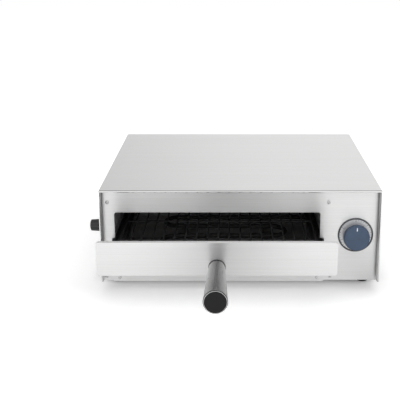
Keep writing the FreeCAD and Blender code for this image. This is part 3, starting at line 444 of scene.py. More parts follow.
# cloud is the scale, detail and roughness of the stains, and grain the scale and detail of the relief
baked = {"cloud": (22.0, 5.0, 0.6), "shades": (0.8, 1.25),
         "grain": (900.0, 2.0), "depth": 0.03 * mm, "strength": 0.4}
moulded = {"cloud": (45.0, 4.0, 0.5), "shades": (0.85, 1.2),
           "grain": (2600.0, 2.0), "depth": 0.02 * mm, "strength": 0.5}
printed = {"cloud": (700.0, 2.0, 0.5), "shades": (0.9, 1.1), "roughness": (0.42, 0.58)}
plated = {"crystals": 260.0, "shades": (0.86, 1.08)}
drawnGrip = {"lines": (900, 9, 900), "shades": (0.6, 1.7), "depth": 0.02 * mm, "strength": 0.6,
             "coat": 0.85, "coatRoughness": 0.1}
turnedPlate = {"rings": 4200.0, "shades": (0.88, 1.08), "depth": 0.01 * mm, "strength": 0.4,
               "metallic": 0.4, "anisotropy": 0.6}


def clouded(name, colour, roughness, look, metallic=0.0):
    # cloudy tone and gloss over a fine relief
    finish, tree, shader = newFinish(name, colour, metallic)
    cloud = noiseAt(objectPlace(tree), *look["cloud"])
    patterned(shader, cloud, colour, look["shades"], roughness)
    if "grain" in look:
        relief(shader, noiseAt(objectPlace(tree), *look["grain"]), look)
    return finish, shader


def bakedSteel(name, colour, roughness, metallic=0.5):
    # sheet that has been hot, with faint cloudy stains
    return clouded(name, colour, roughness, baked, metallic)[0]


def mouldedPlastic(name, colour, roughness, depth=moulded["depth"], shine=0.5):
    finish, shader = clouded(name, colour, roughness, {**moulded, "depth": depth})
    put(shader, "Specular IOR Level", shine)
    return finish


def printedInk(name, colour):
    return clouded(name, colour, printed["roughness"], printed)[0]


def platedSteel(name, colour, roughness):
    # plating with small crystals
    finish, tree, shader = newFinish(name, colour, 1.0)
    values = {"Vector": objectPlace(tree), "Scale": plated["crystals"]}
    crystals = addNode(tree, "ShaderNodeTexVoronoi", values).outputs["Color"]
    shade = addNode(tree, "ShaderNodeSeparateColor", {"Color": crystals}).outputs
    put(shader, "Base Color", toned(shade["Red"], colour, plated["shades"], 0.0, 1.0))
    put(shader, "Roughness", glossed(shade["Green"], roughness, 0.0, 1.0))
    return finish


def gripPlastic(name, colour, roughness, centre):
    # polished black grip with faint lines drawn along it
    finish, tree, shader = newFinish(name, colour)
    put(shader, "Coat Weight", drawnGrip["coat"])
    put(shader, "Coat Roughness", drawnGrip["coatRoughness"])
    lines = noiseAt(objectPlace(tree, drawnGrip["lines"], centre))
    patterned(shader, lines, colour, drawnGrip["shades"], roughness)
    relief(shader, lines, drawnGrip)
    return finish


def spunMetal(name, colour, roughness, centre):
    # fine rings about a centre, turned on a lathe, on a face that looks forwards
    finish, tree, shader = newFinish(name, colour, turnedPlate["metallic"])
    put(shader, "Anisotropic", turnedPlate["anisotropy"])
    flat = objectPlace(tree, (1, 0, 1), centre)
    values = {"W": vectorCalc("LENGTH", flat), "Scale": turnedPlate["rings"]}
    rings = out(tree, "ShaderNodeTexNoise", values, noise_dimensions="1D")
    patterned(shader, rings, colour, turnedPlate["shades"], roughness)
    relief(shader, rings, turnedPlate)
    put(shader, "Tangent", flat)
    return finish


gripMiddle = boxMiddle("handle_grip")
dialMiddle = boxMiddle("timer_dial")
finishes = {
    "case_steel": brushedSteel("caseSteel", brushed),
    "rear_steel": brushedSteel("rearSteel", brushed, (0.60, 0.60, 0.60)),
    "chamber_steel": bakedSteel("chamberSteel", (0.46, 0.46, 0.455), (0.35, 0.5), 0.1),
    "zinc_steel": platedSteel("zincSteel", (0.60, 0.61, 0.62), (0.28, 0.42)),
    "tray_steel": bakedSteel("traySteel", (0.46, 0.46, 0.46), (0.35, 0.5), 0.1),
    "runner_steel": bakedSteel("runnerSteel", (0.06, 0.06, 0.062), (0.3, 0.45)),
    "rack_chrome": bakedSteel("rackWire", (0.07, 0.07, 0.071), (0.3, 0.45), 0.3),
    "element_sheath": bakedSteel("elementSheath", (0.05, 0.048, 0.046), (0.4, 0.6), 0.2),
    "fastener_steel": platedSteel("fastenerSteel", (0.70, 0.70, 0.70), (0.2, 0.32)),
    "element_ceramic": mouldedPlastic("elementCeramic", (0.78, 0.74, 0.66), (0.45, 0.6)),
    "terminal_brass": platedSteel("terminalBrass", (0.72, 0.52, 0.22), (0.25, 0.4)),
    "grip_plastic": gripPlastic("gripPlastic", (0.012, 0.012, 0.013), (0.18, 0.3), gripMiddle),
    "washer_plastic": mouldedPlastic("washerPlastic", (0.012, 0.012, 0.012), (0.4, 0.55)),
    "dial_metal": spunMetal("dialMetal", (0.74, 0.74, 0.75), (0.26, 0.40), dialMiddle),
    "bezel_plastic": mouldedPlastic("bezelPlastic", (0.085, 0.09, 0.10), (0.35, 0.45)),
    "knob_plastic": mouldedPlastic("knobPlastic", (0.045, 0.075, 0.130), (0.32, 0.45)),
    "pointer_white": printedInk("pointerWhite", (0.80, 0.84, 0.88)),
    "control_plastic": mouldedPlastic("controlPlastic", (0.20, 0.19, 0.17), (0.4, 0.55)),
    "selector_plastic": mouldedPlastic("selectorPlastic", (0.012, 0.012, 0.013), (0.14, 0.22)),
    "block_plastic": mouldedPlastic("blockPlastic", (0.72, 0.71, 0.66), (0.4, 0.55)),
    "wire_sleeve": mouldedPlastic("wireSleeve", (0.62, 0.60, 0.54), (0.55, 0.7), 0.08 * mm),
    "gland_plastic": mouldedPlastic("glandPlastic", (0.016, 0.016, 0.017), (0.4, 0.55)),
    "foot_rubber": mouldedPlastic("footRubber", (0.014, 0.014, 0.014), (0.6, 0.78), 0.05 * mm),
}
capPlastic = mouldedPlastic("capPlastic", (0.008, 0.008, 0.0085), (0.5, 0.62), 0.05 * mm, 0.25)
scaleInk = printedInk("scaleInk", (0.03, 0.03, 0.035))
for nodeName, node in cadNodes.items():
    node.data.materials.clear()
    node.data.materials.append(finishes[slotOfNode[nodeName]])
print("finishes made:", len(finishes) + 2)


# Mesh helpers
def newPiece(name, mesh, finish):
    # bmesh to an object that sits at the origin
    bmesh.ops.recalc_face_normals(mesh, faces=mesh.faces)
    data = bpy.data.meshes.new(name)
    mesh.to_mesh(data)
    mesh.free()
    return pieceFromData(name, data, finish)


def pieceFromData(name, data, finish, sharpAngle=32):
    # smooth but for the sharp edges
    data.polygons.foreach_set("use_smooth", [True] * len(data.polygons))
    data.set_sharp_from_angle(angle=math.radians(sharpAngle))
    data.materials.clear()
    data.materials.append(finish)
    return newObject(name, data)


def addTo(piece, body):
    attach(piece, body)


def standFor(piece, node):
    # the piece takes the place and body of the node that it stands for, and the node is hidden
    addTo(piece, bodyOfNode[node])
    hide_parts(node)


def roundedLine(corners, steps=6):
    # corners are (across, along) or (across, along, radius), where the radius rounds the corner
    line = []
    for index, corner in enumerate(corners):
        here = Vector(corner[:2])
        if len(corner) < 3:
            line.append(here)
            continue
        back = (Vector(corners[index - 1][:2]) - here).normalized()
        ahead = (Vector(corners[(index + 1) % len(corners)][:2]) - here).normalized()
        half = back.angle(ahead) / 2
        reach = corner[2] / math.tan(half)
        middle = here + (back + ahead).normalized() * (corner[2] / math.sin(half))
        first = here + back * reach - middle
        last = here + ahead * reach - middle
        start = math.atan2(first.y, first.x)
        turn = math.atan2(first.x * last.y - first.y * last.x, first.dot(last))
        for step in range(steps + 1):
            angle = start + turn * step / steps
            line.append(middle + Vector((math.cos(angle), math.sin(angle))) * corner[2])
    return line


def roundedFrame(middle, y, x, z, radius):
    # upright rounded rectangle about a middle, with its half sides in millimetres
    outline = roundedLine([(-x, -z, radius), (x, -z, radius), (x, z, radius), (-x, z, radius)])
    return [(middle.x + point.x * mm, y, middle.z + point.y * mm) for point in outline]


def supported(line, margin=0.4):
    # adds a point near both ends of each long stretch, so that flat stretches shade flat
    points = [line[0]]
    for first, second in zip(line, line[1:]):
        reach = (second - first).length
        if reach > 4 * margin:
            points.append(first.lerp(second, margin / reach))
            points.append(second.lerp(first, margin / reach))
        points.append(second)
    return points


def bridge(mesh, lower, upper):
    # faces between two closed rows of points, where a row of one point is a tip
    count = max(len(lower), len(upper))
    for i in range(count):
        k = (i + 1) % count
        loop = [(lower, i), (lower, k), (upper, k), (upper, i)]
        loop = list(dict.fromkeys(row[spot % len(row)] for row, spot in loop))
        if len(loop) > 2:
            mesh.faces.new(loop)


def spun(name, corners, centre, axis, finish, ring=False, sides=72):
    # turns an outline of (radius, along) corners in millimetres about an axis through centre
    along = Vector(axis)
    across = Vector((1, 0, 0)) if along.z else Vector((0, 0, 1))
    other = along.cross(across)
    turns = [2 * math.pi * i / sides for i in range(sides)]
    mesh = bmesh.new()
    rows = []
    for radius, distance in supported(roundedLine(corners)):
        base = Vector(centre) + along * distance * mm
        if radius == 0:
            rows.append([mesh.verts.new(base)])
            continue
        rows.append([
            mesh.verts.new(base + (across * math.cos(t) + other * math.sin(t)) * radius * mm) for t in turns
        ])
    pairs = list(zip(rows, rows[1:]))
    if ring:
        pairs.append((rows[-1], rows[0]))
    for lower, upper in pairs:
        bridge(mesh, lower, upper)
    return newPiece(name, mesh, finish)


def endsAlong(node, axis):
    # start of a round node that runs along an axis, and its length and radius in millimetres
    low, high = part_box(node)
    along = Vector(axis)
    length = abs((high - low).dot(along))
    across = max(abs(part) for part in (high - low) - along * (high - low).dot(along))
    return (low + high) / 2 - along * length / 2, length / mm, across / 2 / mm


def spunFor(node, name, axis, cornersOf, finish=None, **how):
    # spun piece in the place of a round node; cornersOf takes the node's length and radius
    start, length, radius = endsAlong(node, axis)
    piece = spun(name, cornersOf(length, radius), start, axis, finish or finishes[slotOfNode[node]], **how)
    standFor(piece, node)


def lofted(name, loops, finish):
    # joins loops of as many points each, and closes the first and the last
    mesh = bmesh.new()
    rows = [[mesh.verts.new(point) for point in loop] for loop in loops]
    for lower, upper in zip(rows, rows[1:]):
        bridge(mesh, lower, upper)
    mesh.faces.new(rows[0])
    mesh.faces.new(rows[-1])
    return newPiece(name, mesh, finish)


def solidBoxes(node):
    # boxes of the separate solids in a node
    mesh = bmesh.new()
    mesh.from_mesh(cadNodes[node].data)
    bmesh.ops.remove_doubles(mesh, verts=mesh.verts, dist=weldReach)
    left = set(mesh.verts)
    boxes = []
    while left:
        reached = {left.pop()}
        edge = list(reached)
        while edge:
            vert = edge.pop()
            for link in vert.link_edges:
                near = link.other_vert(vert)
                if near not in reached:
                    reached.add(near)
                    edge.append(near)
        left -= reached
        spots = [vert.co.copy() for vert in reached]
        low, high = [Vector([pick(spot[i] for spot in spots) for i in range(3)]) for pick in (min, max)]
        boxes.append((low, high))
    mesh.free()
    return sorted(boxes, key=lambda box: tuple(round(part, 5) for part in box[0]))


# Geometry Nodes helpers
socketKinds = {type(None): "Geometry", int: "Int", float: "Float", bpy.types.Material: "Material"}


def meshOf(name, holder):
    # keeps the holder's evaluated shape as a plain mesh
    depsgraph = bpy.context.evaluated_depsgraph_get()
    made = bpy.data.meshes.new_from_object(holder.evaluated_get(depsgraph))
    holder.modifiers.clear()
    bpy.data.objects.remove(holder)
    made.name = name
    return made


def grow(name, build, values, finish, seed=None):
    # build makes a shape from a tree's named inputs, and the tree runs on a seed mesh
    tree = bpy.data.node_groups.new(name + "Tree", "GeometryNodeTree")
    tree.is_modifier = True
    sockets = {}
    for label, value in {"Geometry": None, **values, "Finish": finish}.items():
        kind = "NodeSocket" + socketKinds[type(value)]
        sockets[label] = tree.interface.new_socket(label, in_out="INPUT", socket_type=kind).identifier
    tree.interface.new_socket("Geometry", in_out="OUTPUT", socket_type="NodeSocketGeometry")
    given = addNode(tree, "NodeGroupInput").outputs
    real = out(tree, "GeometryNodeRealizeInstances", {"Geometry": build(tree, given)})
    dressed = out(tree, "GeometryNodeSetMaterial", {"Geometry": real, "Material": given["Finish"]})
    addNode(tree, "NodeGroupOutput", {"Geometry": dressed})
    holder = newObject(name + "Holder", seed or bpy.data.meshes.new(name + "Seed"))
    modifier = holder.modifiers.new("shape", "NODES")
    modifier.node_group = tree
    for label, value in {**values, "Finish": finish}.items():
        modifier[sockets[label]] = value
    return meshOf(name, holder)


def grownFor(node, name, build, values, seed=None, place=(0, 0, 0)):
    # grown piece in the place of a node
    finish = finishes[slotOfNode[node]]
    data = grow(name, build, values, finish, seed)
    data.transform(Matrix.Translation(place))
    standFor(pieceFromData(name, data, finish), node)


def tubeAlong(tree, path, radius, sides, capped=False):
    profile = out(tree, "GeometryNodeCurvePrimitiveCircle", {"Resolution": sides, "Radius": radius})
    values = {"Curve": path, "Profile Curve": profile, "Fill Caps": capped}
    return out(tree, "GeometryNodeCurveToMesh", values)


def setCurve(node, points):
    # straight stretches through the points of a float curve
    curve = node.mapping.curves[0]
    node.mapping.use_clip = False
    while len(curve.points) < len(points):
        curve.points.new(0.5, 0.5)
    for point, (x, y) in zip(curve.points, points):
        point.location = (x, y)
        point.handle_type = "VECTOR"
    node.mapping.update()


print("helpers ready")


# Handle on the drawer front: a tapered grip with an inset cap, on a thin washer
handle = {
    "baseRadius": 13.4, "baseRound": 1.5, "endRadius": 18.8, "endRound": 1.5,
    "seatRadius": 16.9, "seatDepth": 4.0, "seatRound": 0.3, "capRound": 1.0,
    "trimInner": 16.75, "trimOuter": 17.7, "trimProud": 0.35, "trimSunk": 0.6, "trimRound": 0.3,
    "boltRadius": 4.2, "washerRound": 0.6,
}


def makeHandle(spec):
    outwards = (0, -1, 0)
    seat, depth = spec["seatRadius"], spec["seatDepth"]
    spunFor("handle_grip", "grip", outwards, lambda length, radius: [
        (0, 0), (spec["baseRadius"], 0, spec["baseRound"]), (spec["endRadius"], length, spec["endRound"]),
        (seat, length, spec["seatRound"]), (seat, length - depth), (0, length - depth),
    ], sides=96)
    start, length = endsAlong("handle_grip", outwards)[:2]
    back, front = length - spec["trimSunk"], length + spec["trimProud"]
    inner, outer, edge = spec["trimInner"], spec["trimOuter"], spec["trimRound"]
    corners = [(inner, back), (outer, back), (outer, front, edge), (inner, front, edge)]
    trim = spun("grip_trim", corners, start, outwards, finishes["fastener_steel"], ring=True, sides=96)
    addTo(trim, "drawer")
    spunFor("handle_cap", "grip_cap", outwards, lambda length, radius: [
        (0, 0), (radius, 0), (radius, length, spec["capRound"]), (0, length),
    ], capPlastic, sides=96)
    bolt, rounding = spec["boltRadius"], spec["washerRound"]
    spunFor("handle_washer", "grip_washer", outwards, lambda length, radius: [
        (bolt, 0), (radius, 0, rounding), (radius, length, rounding), (bolt, length),
    ], ring=True)


# Drawer front: a shallow pan of bent sheet, open towards the oven
drawerPan = {
    "sheet": 1.0, "corner": 5.0, "leastCorner": 0.3, "edgeRound": 0.9, "innerRound": 0.5, "faceMargin": 9.0,
}


def makeDrawerPan(spec):
    low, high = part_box("drawer_front")
    halfWidth, halfDepth, halfHeight = [part / mm for part in (high - low) / 2]
    depth = 2 * halfDepth
    sheet, margin = spec["sheet"], spec["faceMargin"]
    section = roundedLine([
        (sheet + margin, sheet), (sheet, sheet, spec["innerRound"]), (sheet, depth), (0, depth),
        (0, 0, spec["edgeRound"]), (margin, 0),
    ])
    loops = []
    for inset, behind in supported(section):
        corner = max(spec["corner"] - inset, spec["leastCorner"])
        sides = (halfWidth - inset, halfHeight - inset)
        loops.append(roundedFrame((low + high) / 2, low.y + behind * mm, *sides, corner))
    standFor(lofted("drawer_pan", loops, finishes["case_steel"]), "drawer_front")


# Timer: a dial plate in a dark rim, a knob with a flat cap on a neck, a white mark
timer = {
    "boreRadius": 5.0, "rimWidth": 2.6, "rimRound": 1.2, "plateEdge": 0.2,
    "knobNeck": 17.0, "neckRound": 0.5, "knobWall": 3.0, "knobFaceWall": 5.0,
    "capBack": 22.7, "capFace": 22.3, "capThickness": 7.0, "capRound": 2.0, "capEdge": 0.4,
    "markRound": 0.7,
}


def makeTimer(spec):
    outwards = (0, -1, 0)
    width, rounding = spec["rimWidth"], spec["rimRound"]
    spunFor("timer_bezel", "timer_rim", outwards, lambda length, radius: [
        (radius - width, 0), (radius, 0), (radius, length, rounding), (radius - width, length, rounding),
    ], ring=True, sides=96)
    bore = spec["boreRadius"]
    spunFor("timer_dial", "timer_plate", outwards, lambda length, radius: [
        (bore, 0), (radius, 0), (radius, length, spec["plateEdge"]), (bore, length),
    ], ring=True, sides=96)
    neck, wall = spec["knobNeck"], spec["knobFaceWall"]
    hollow = neck - spec["knobWall"]
    spunFor("timer_knob", "timer_knob_cap", outwards, lambda length, radius: [
        (0, length - wall), (hollow, length - wall), (hollow, 0), (neck, 0, spec["neckRound"]),
        (spec["capBack"], length - spec["capThickness"], spec["capEdge"]),
        (spec["capFace"], length, spec["capRound"]), (0, length),
    ], sides=96)
    low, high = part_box("timer_pointer")
    halfWidth, _, halfHeight = [part / mm for part in (high - low) / 2]
    loops = [
        roundedFrame((low + high) / 2, y, halfWidth, halfHeight, spec["markRound"]) for y in (high.y, low.y)
    ]
    standFor(lofted("timer_mark", loops, finishes["pointer_white"]), "timer_pointer")


# Heat selector on the left side: a domed knob with a mark on its end
selector = {
    "baseRadius": 11.4, "baseRound": 0.5, "endRadius": 9.9, "shoulderRound": 0.8,
    "crown": 2.6, "crownSteps": 7, "wall": 2.0, "faceWall": 5.0,
    "markFrom": 3.0, "markTo": 8.6, "markSteps": 6, "markHalfWidth": 0.6,
    "markProud": 0.12, "markSunk": 0.5,
}


def crownHeight(spec, top, radius):
    # height of the selector's domed end at a radius
    ball = (spec["endRadius"] ** 2 + spec["crown"] ** 2) / (2 * spec["crown"])
    return top - ball + math.sqrt(ball * ball - radius * radius)


def selectorOutline(spec, length):
    shoulder = length - spec["crown"]
    floor = shoulder - spec["faceWall"]
    hollow = spec["baseRadius"] - spec["wall"]
    corners = [
        (0, floor), (hollow, floor), (hollow, 0), (spec["baseRadius"], 0, spec["baseRound"]),
        (spec["endRadius"], shoulder, spec["shoulderRound"]),
    ]
    for step in range(1, spec["crownSteps"] + 1):
        across = spec["endRadius"] * (1 - step / spec["crownSteps"])
        corners.append((across, crownHeight(spec, length, across)))
    return corners


def makeSelector(spec):
    outwards = (-1, 0, 0)
    spunFor("selector_knob", "selector_knob_cap", outwards,
            lambda length, radius: selectorOutline(spec, length), sides=64)
    start, length = endsAlong("selector_knob", outwards)[:2]
    loops = []
    proud, sunk = spec["markProud"], -spec["markSunk"]
    for step in range(spec["markSteps"] + 1):
        up = spec["markFrom"] + (spec["markTo"] - spec["markFrom"]) * step / spec["markSteps"]
        top = crownHeight(spec, length, up)
        loops.append([
            start + Vector((-(top + lift), side * spec["markHalfWidth"], up)) * mm
            for side, lift in ((-1, sunk), (1, sunk), (1, proud), (-1, proud))
        ])
    addTo(lofted("selector_mark", loops, finishes["pointer_white"]), "selector_control")


# Rubber feet, each with a recess for its screw
footing = {
    "bottomRadius": 10.0, "bottomRound": 2.0, "topRadius": 13.0, "topRound": 0.5,
    "recessRadius": 5.5, "recessRound": 0.4, "recessDepth": 7.0, "boreRadius": 2.2,
}


def makeFeet(spec):
    recess, bore, depth = spec["recessRadius"], spec["boreRadius"], spec["recessDepth"]
    for node in sorted(name for name in cadNodes if name.startswith("foot_") and name != "foot_screws"):
        spunFor(node, node + "_rubber", (0, 0, 1), lambda height, radius: [
            (recess, 0, spec["recessRound"]), (spec["bottomRadius"], 0, spec["bottomRound"]),
            (spec["topRadius"], height, spec["topRound"]), (bore, height), (bore, depth), (recess, depth),
        ], ring=True, sides=48)


# Cable gland in the rear panel
gland = {
    "boreRadius": 4.5, "boreRound": 0.6, "bodyRadius": 8.0, "innerLength": 10.0,
    "flangeThickness": 4.0, "flangeRound": 1.0, "noseRadius": 9.0, "noseEndRadius": 7.5, "noseRound": 1.2,
}


def makeGland(spec):
    bore, body, seat = spec["boreRadius"], spec["bodyRadius"], spec["innerLength"]
    face = seat + spec["flangeThickness"]
    spunFor("cable_gland", "gland_body", (0, 1, 0), lambda length, radius: [
        (bore, 0), (body, 0), (body, seat), (radius, seat), (radius, face, spec["flangeRound"]),
        (spec["noseRadius"], face), (spec["noseEndRadius"], length, spec["noseRound"]),
        (bore, length, spec["boreRound"]),
    ], ring=True, sides=64)


makeHandle(handle)
makeDrawerPan(drawerPan)
makeTimer(timer)
makeSelector(selector)
makeFeet(footing)
makeGland(gland)
print("handle, drawer front, controls, feet and gland made")


# Screws and rivets; a smaller flatness makes a fuller head
panScrew = {"headRadius": 3.2, "headHeight": 2.2, "rim": 0.7, "flatness": 0.7, "shankRadius": 1.75,
            "shankLength": 6.0, "recessLength": 3.9, "recessWidth": 0.95, "recessDepth": 1.3}
footScrew = {"headRadius": 4.0, "headHeight": 3.0, "rim": 1.6, "flatness": 0.7, "shankRadius": 2.0,
             "shankLength": 14.0, "recessLength": 4.6, "recessWidth": 1.1, "recessDepth": 1.7}
wallRivet = {"headRadius": 3.0, "headHeight": 1.2, "rim": 0.15, "flatness": 0.8, "shankRadius": 1.6,
             "shankLength": 3.0}
trayRivet = {**wallRivet, "shankLength": 3.2}
headSides = 24
headInputs = {"Head Radius": "headRadius", "Shank Length": "shankLength", "Recess Length": "recessLength",
              "Recess Width": "recessWidth", "Recess Depth": "recessDepth"}


def headOutline(spec, steps=6):
    # (radius, along) from the tail to the middle of the head, as shares of the head's radius and the length
    head, shank, tail = spec["headRadius"], spec["shankRadius"], -spec["shankLength"]
    line = [(0, tail)]
    if "recessDepth" in spec:
        line.append((shank, tail))
    else:
        foot = tail + spec["headHeight"]
        line += [(head, tail), (head, foot), (shank, foot)]
    line += [(shank, 0), (head, 0)]
    for step in range(steps + 1):
        angle = math.pi / 2 * step / steps
        across = head * math.cos(angle) ** spec["flatness"] if step < steps else 0
        line.append((across, spec["rim"] + (spec["headHeight"] - spec["rim"]) * math.sin(angle)))
    whole = spec["shankLength"] + spec["headHeight"]
    return [(radius / head, (along - tail) / whole) for radius, along in line]


def headShape(tree, given, outline):
    # screws or rivets set on points, each turned outwards
    rows = len(outline)
    grid = out(tree, "GeometryNodeMeshGrid", {
        "Size X": 1.0, "Size Y": 1.0, "Vertices X": headSides + 1, "Vertices Y": rows,
    })
    spot = split(out(tree, "GeometryNodeInputPosition"))
    angle = ranged(spot["X"], -0.5, 0.5, 0.0, 2 * math.pi)
    share = ranged(spot["Y"], -0.5, 0.5, 0.0, 1.0)
    curves = []
    for column in (0, 1):
        curve = addNode(tree, "ShaderNodeFloatCurve", {"Value": share})
        setCurve(curve, [(i / (rows - 1), corner[column]) for i, corner in enumerate(outline)])
        curves.append(curve.outputs["Value"])
    radius = times(curves[0], given["Head Radius"])
    height = times(curves[1], given["Overall Length"])
    place = joined(
        X=times(calc("COSINE", angle), radius),
        Y=times(calc("SINE", angle), radius),
        Z=calc("SUBTRACT", height, given["Shank Length"]),
    )
    moved = out(tree, "GeometryNodeSetPosition", {"Geometry": grid, "Position": place})
    shape = out(tree, "GeometryNodeMergeByDistance", {"Geometry": moved, "Distance": weldReach})
    if "Recess Depth" in given:
        top = joined(Z=calc("SUBTRACT", given["Overall Length"], given["Shank Length"]))
        depth = times(given["Recess Depth"], 2.0)
        cut = addNode(tree, "GeometryNodeMeshBoolean", {"Mesh 1": shape}, operation="DIFFERENCE")
        for first, second in (("Recess Length", "Recess Width"), ("Recess Width", "Recess Length")):
            size = joined(X=given[first], Y=given[second], Z=depth)
            bar = out(tree, "GeometryNodeMeshCube", {"Size": size})
            put(cut, "Mesh 2", out(tree, "GeometryNodeTransform", {"Geometry": bar, "Translation": top}))
        shape = cut.outputs["Mesh"]
    outwards = out(tree, "GeometryNodeInputNamedAttribute", {"Name": "outwards"}, data_type="FLOAT_VECTOR")
    aligned = out(tree, "FunctionNodeAlignRotationToVector", {"Vector": outwards}, axis="Z")
    values = {3: 2 * math.pi, "Seed": given["Seed"]}
    spin = out(tree, "FunctionNodeRandomValue", values, data_type="FLOAT")
    twist = out(tree, "FunctionNodeAxisAngleToRotation", {"Axis": (0, 0, 1), "Angle": spin})
    turns = {"Rotation": aligned, "Rotate By": twist}
    turned = out(tree, "FunctionNodeRotateRotation", turns, rotation_space="LOCAL")
    values = {"Points": given["Geometry"], "Instance": shape, "Rotation": turned}
    return out(tree, "GeometryNodeInstanceOnPoints", values)


def seatPoints(name, node, outwardsOf, headHeight):
    # a point under the head of each solid in the node, with the way that it faces
    spots, directions = [], []
    for low, high in solidBoxes(node):
        middle = (low + high) / 2
        outwards = Vector(outwardsOf(middle))
        reach = abs((high - low).dot(outwards)) / 2
        spots.append(middle + outwards * (reach - headHeight))
        directions.extend(outwards)
    data = bpy.data.meshes.new(name)
    data.from_pydata(spots, [], [])
    data.attributes.new("outwards", "FLOAT_VECTOR", "POINT").data.foreach_set("vector", directions)
    return data


def setHeads(name, node, spec, outwardsOf, seed):
    # one piece for all the fasteners of a node
    outline = headOutline(spec)
    values = {label: spec[key] * mm for label, key in headInputs.items() if key in spec}
    values["Overall Length"] = (spec["headHeight"] + spec["shankLength"]) * mm
    values["Seed"] = seed
    seats = seatPoints(name + "Seats", node, outwardsOf, spec["headHeight"] * mm)
    grownFor(node, name, lambda tree, given: headShape(tree, given, outline), values, seats)


def towards(*direction):
    return lambda spot: direction


def awayFrom(node):
    # to the left or right, away from the middle of a node
    middle = boxMiddle(node)
    return lambda spot: (math.copysign(1, spot.x - middle.x), 0, 0)


setHeads("front_screw_heads", "front_panel_screws", panScrew, towards(0, -1, 0), 3)
setHeads("rear_screw_heads", "rear_panel_screws", panScrew, towards(0, 1, 0), 5)
setHeads("side_screw_heads", "cover_screws", panScrew, awayFrom("outer_cover"), 8)
setHeads("foot_screw_heads", "foot_screws", footScrew, towards(0, 0, -1), 13)
setHeads("tray_rivet_heads", "crumb_tray_rivets", trayRivet, towards(0, -1, 0), 21)
setHeads("rail_rivet_heads", "rail_rivets", wallRivet, awayFrom("chamber_roof"), 34)
print("screws and rivets set")


# Wire rack: a bent frame, cross rods, and wires that run from front to back
wireRack = {
    "frameRod": 5.0, "frameSides": 16, "corner": 12.0, "cornerSteps": 8,
    "wire": 3.0, "wireCount": 17, "crossRod": 4.0, "crossCount": 2, "barSides": 14,
    "wireEnds": 1.9,      # frame radii by which the wires are longer than the frame's middle line is deep
    "crossWeld": 0.45,    # how far the wires sink into the cross rods
}


def rackShape(tree, given):
    whole = addNode(tree, "GeometryNodeJoinGeometry")
    sides = {"Width": given["Width"], "Height": given["Depth"]}
    path = out(tree, "GeometryNodeCurvePrimitiveQuadrilateral", sides)
    values = {"Curve": path, "Radius": given["Corner"], "Count": wireRack["cornerSteps"]}
    bent = out(tree, "GeometryNodeFilletCurve", values, mode="POLY")
    put(whole, "Geometry", tubeAlong(tree, bent, given["Frame Radius"], wireRack["frameSides"]))

    def bars(kind, spread, length, axis, turn):
        # evenly spaced round bars between two sides of the frame
        step = calc("DIVIDE", given[spread], plus(given[kind + " Count"], 1.0))
        first = plus(times(given[spread], -0.5), step)
        places = out(tree, "GeometryNodeMeshLine", {
            "Count": given[kind + " Count"],
            "Start Location": joined(**{axis: first, "Z": given[kind + " Lift"]}),
            "Offset": joined(**{axis: step}),
        }, mode="OFFSET")
        bar = out(tree, "GeometryNodeMeshCylinder", {
            "Vertices": wireRack["barSides"],
            "Radius": given[kind + " Radius"],
            "Depth": given[length],
        })
        values = {"Points": places, "Instance": bar, "Rotation": turn}
        put(whole, "Geometry", out(tree, "GeometryNodeInstanceOnPoints", values))

    quarter = math.pi / 2
    bars("Wire", "Width", "Wire Length", "X", (quarter, 0, 0))
    bars("Cross", "Depth", "Width", "Y", (0, quarter, 0))
    return whole.outputs["Geometry"]


def makeRack(spec):
    low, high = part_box("rack")
    rod = spec["frameRod"] * mm
    depth = high.y - low.y - rod
    wireRadius = spec["wire"] * mm / 2
    crossRadius = spec["crossRod"] * mm / 2
    frameHeight = low.z + rod / 2
    wireLift = high.z - wireRadius - frameHeight
    middle = boxMiddle("rack")
    grownFor("rack", "wire_rack", rackShape, {
        "Width": high.x - low.x - rod,
        "Depth": depth,
        "Corner": spec["corner"] * mm,
        "Frame Radius": rod / 2,
        "Wire Radius": wireRadius,
        "Wire Count": spec["wireCount"],
        "Wire Lift": wireLift,
        "Wire Length": depth + spec["wireEnds"] * rod / 2,
        "Cross Radius": crossRadius,
        "Cross Count": spec["crossCount"],
        "Cross Lift": wireLift - wireRadius - crossRadius + spec["crossWeld"] * mm,
    }, place=(middle.x, middle.y, frameHeight))


# Heating elements: a tube that runs to and fro across the chamber
heater = {"runs": 4, "rightBend": 108.0, "bendSteps": 14, "tubeSides": 18}


def tubeShape(tree, given):
    path = out(tree, "GeometryNodeMeshToCurve", {"Mesh": given["Geometry"]})
    return tubeAlong(tree, path, given["Tube Radius"], heater["tubeSides"], capped=True)


def heaterPath(node, spec):
    low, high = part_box(node)
    radius = (high.z - low.z) / 2
    pitch = (high.y - low.y - 2 * radius) / (spec["runs"] - 1)
    bends = [low.x + radius + pitch / 2, high.x - spec["rightBend"] * mm]
    height = (low.z + high.z) / 2
    points = [Vector((high.x, low.y + radius, height))]
    for run in range(spec["runs"] - 1):
        y = low.y + radius + run * pitch
        centre = Vector((bends[run % 2], y + pitch / 2, height))
        side = 1 if run % 2 else -1
        for step in range(spec["bendSteps"] + 1):
            angle = math.pi * step / spec["bendSteps"]
            points.append(centre + Vector((side * math.sin(angle), -math.cos(angle), 0)) * pitch / 2)
    points.append(Vector((high.x, high.y - radius, height)))
    data = bpy.data.meshes.new(node + "Path")
    data.from_pydata(points, [(i, i + 1) for i in range(len(points) - 1)], [])
    return data, radius


def makeHeaters(spec):
    for node in ("lower_element", "upper_element"):
        path, radius = heaterPath(node, spec)
        grownFor(node, node + "_tube", tubeShape, {"Tube Radius": radius}, path)


makeRack(wireRack)
makeHeaters(heater)
print("rack and heaters made")


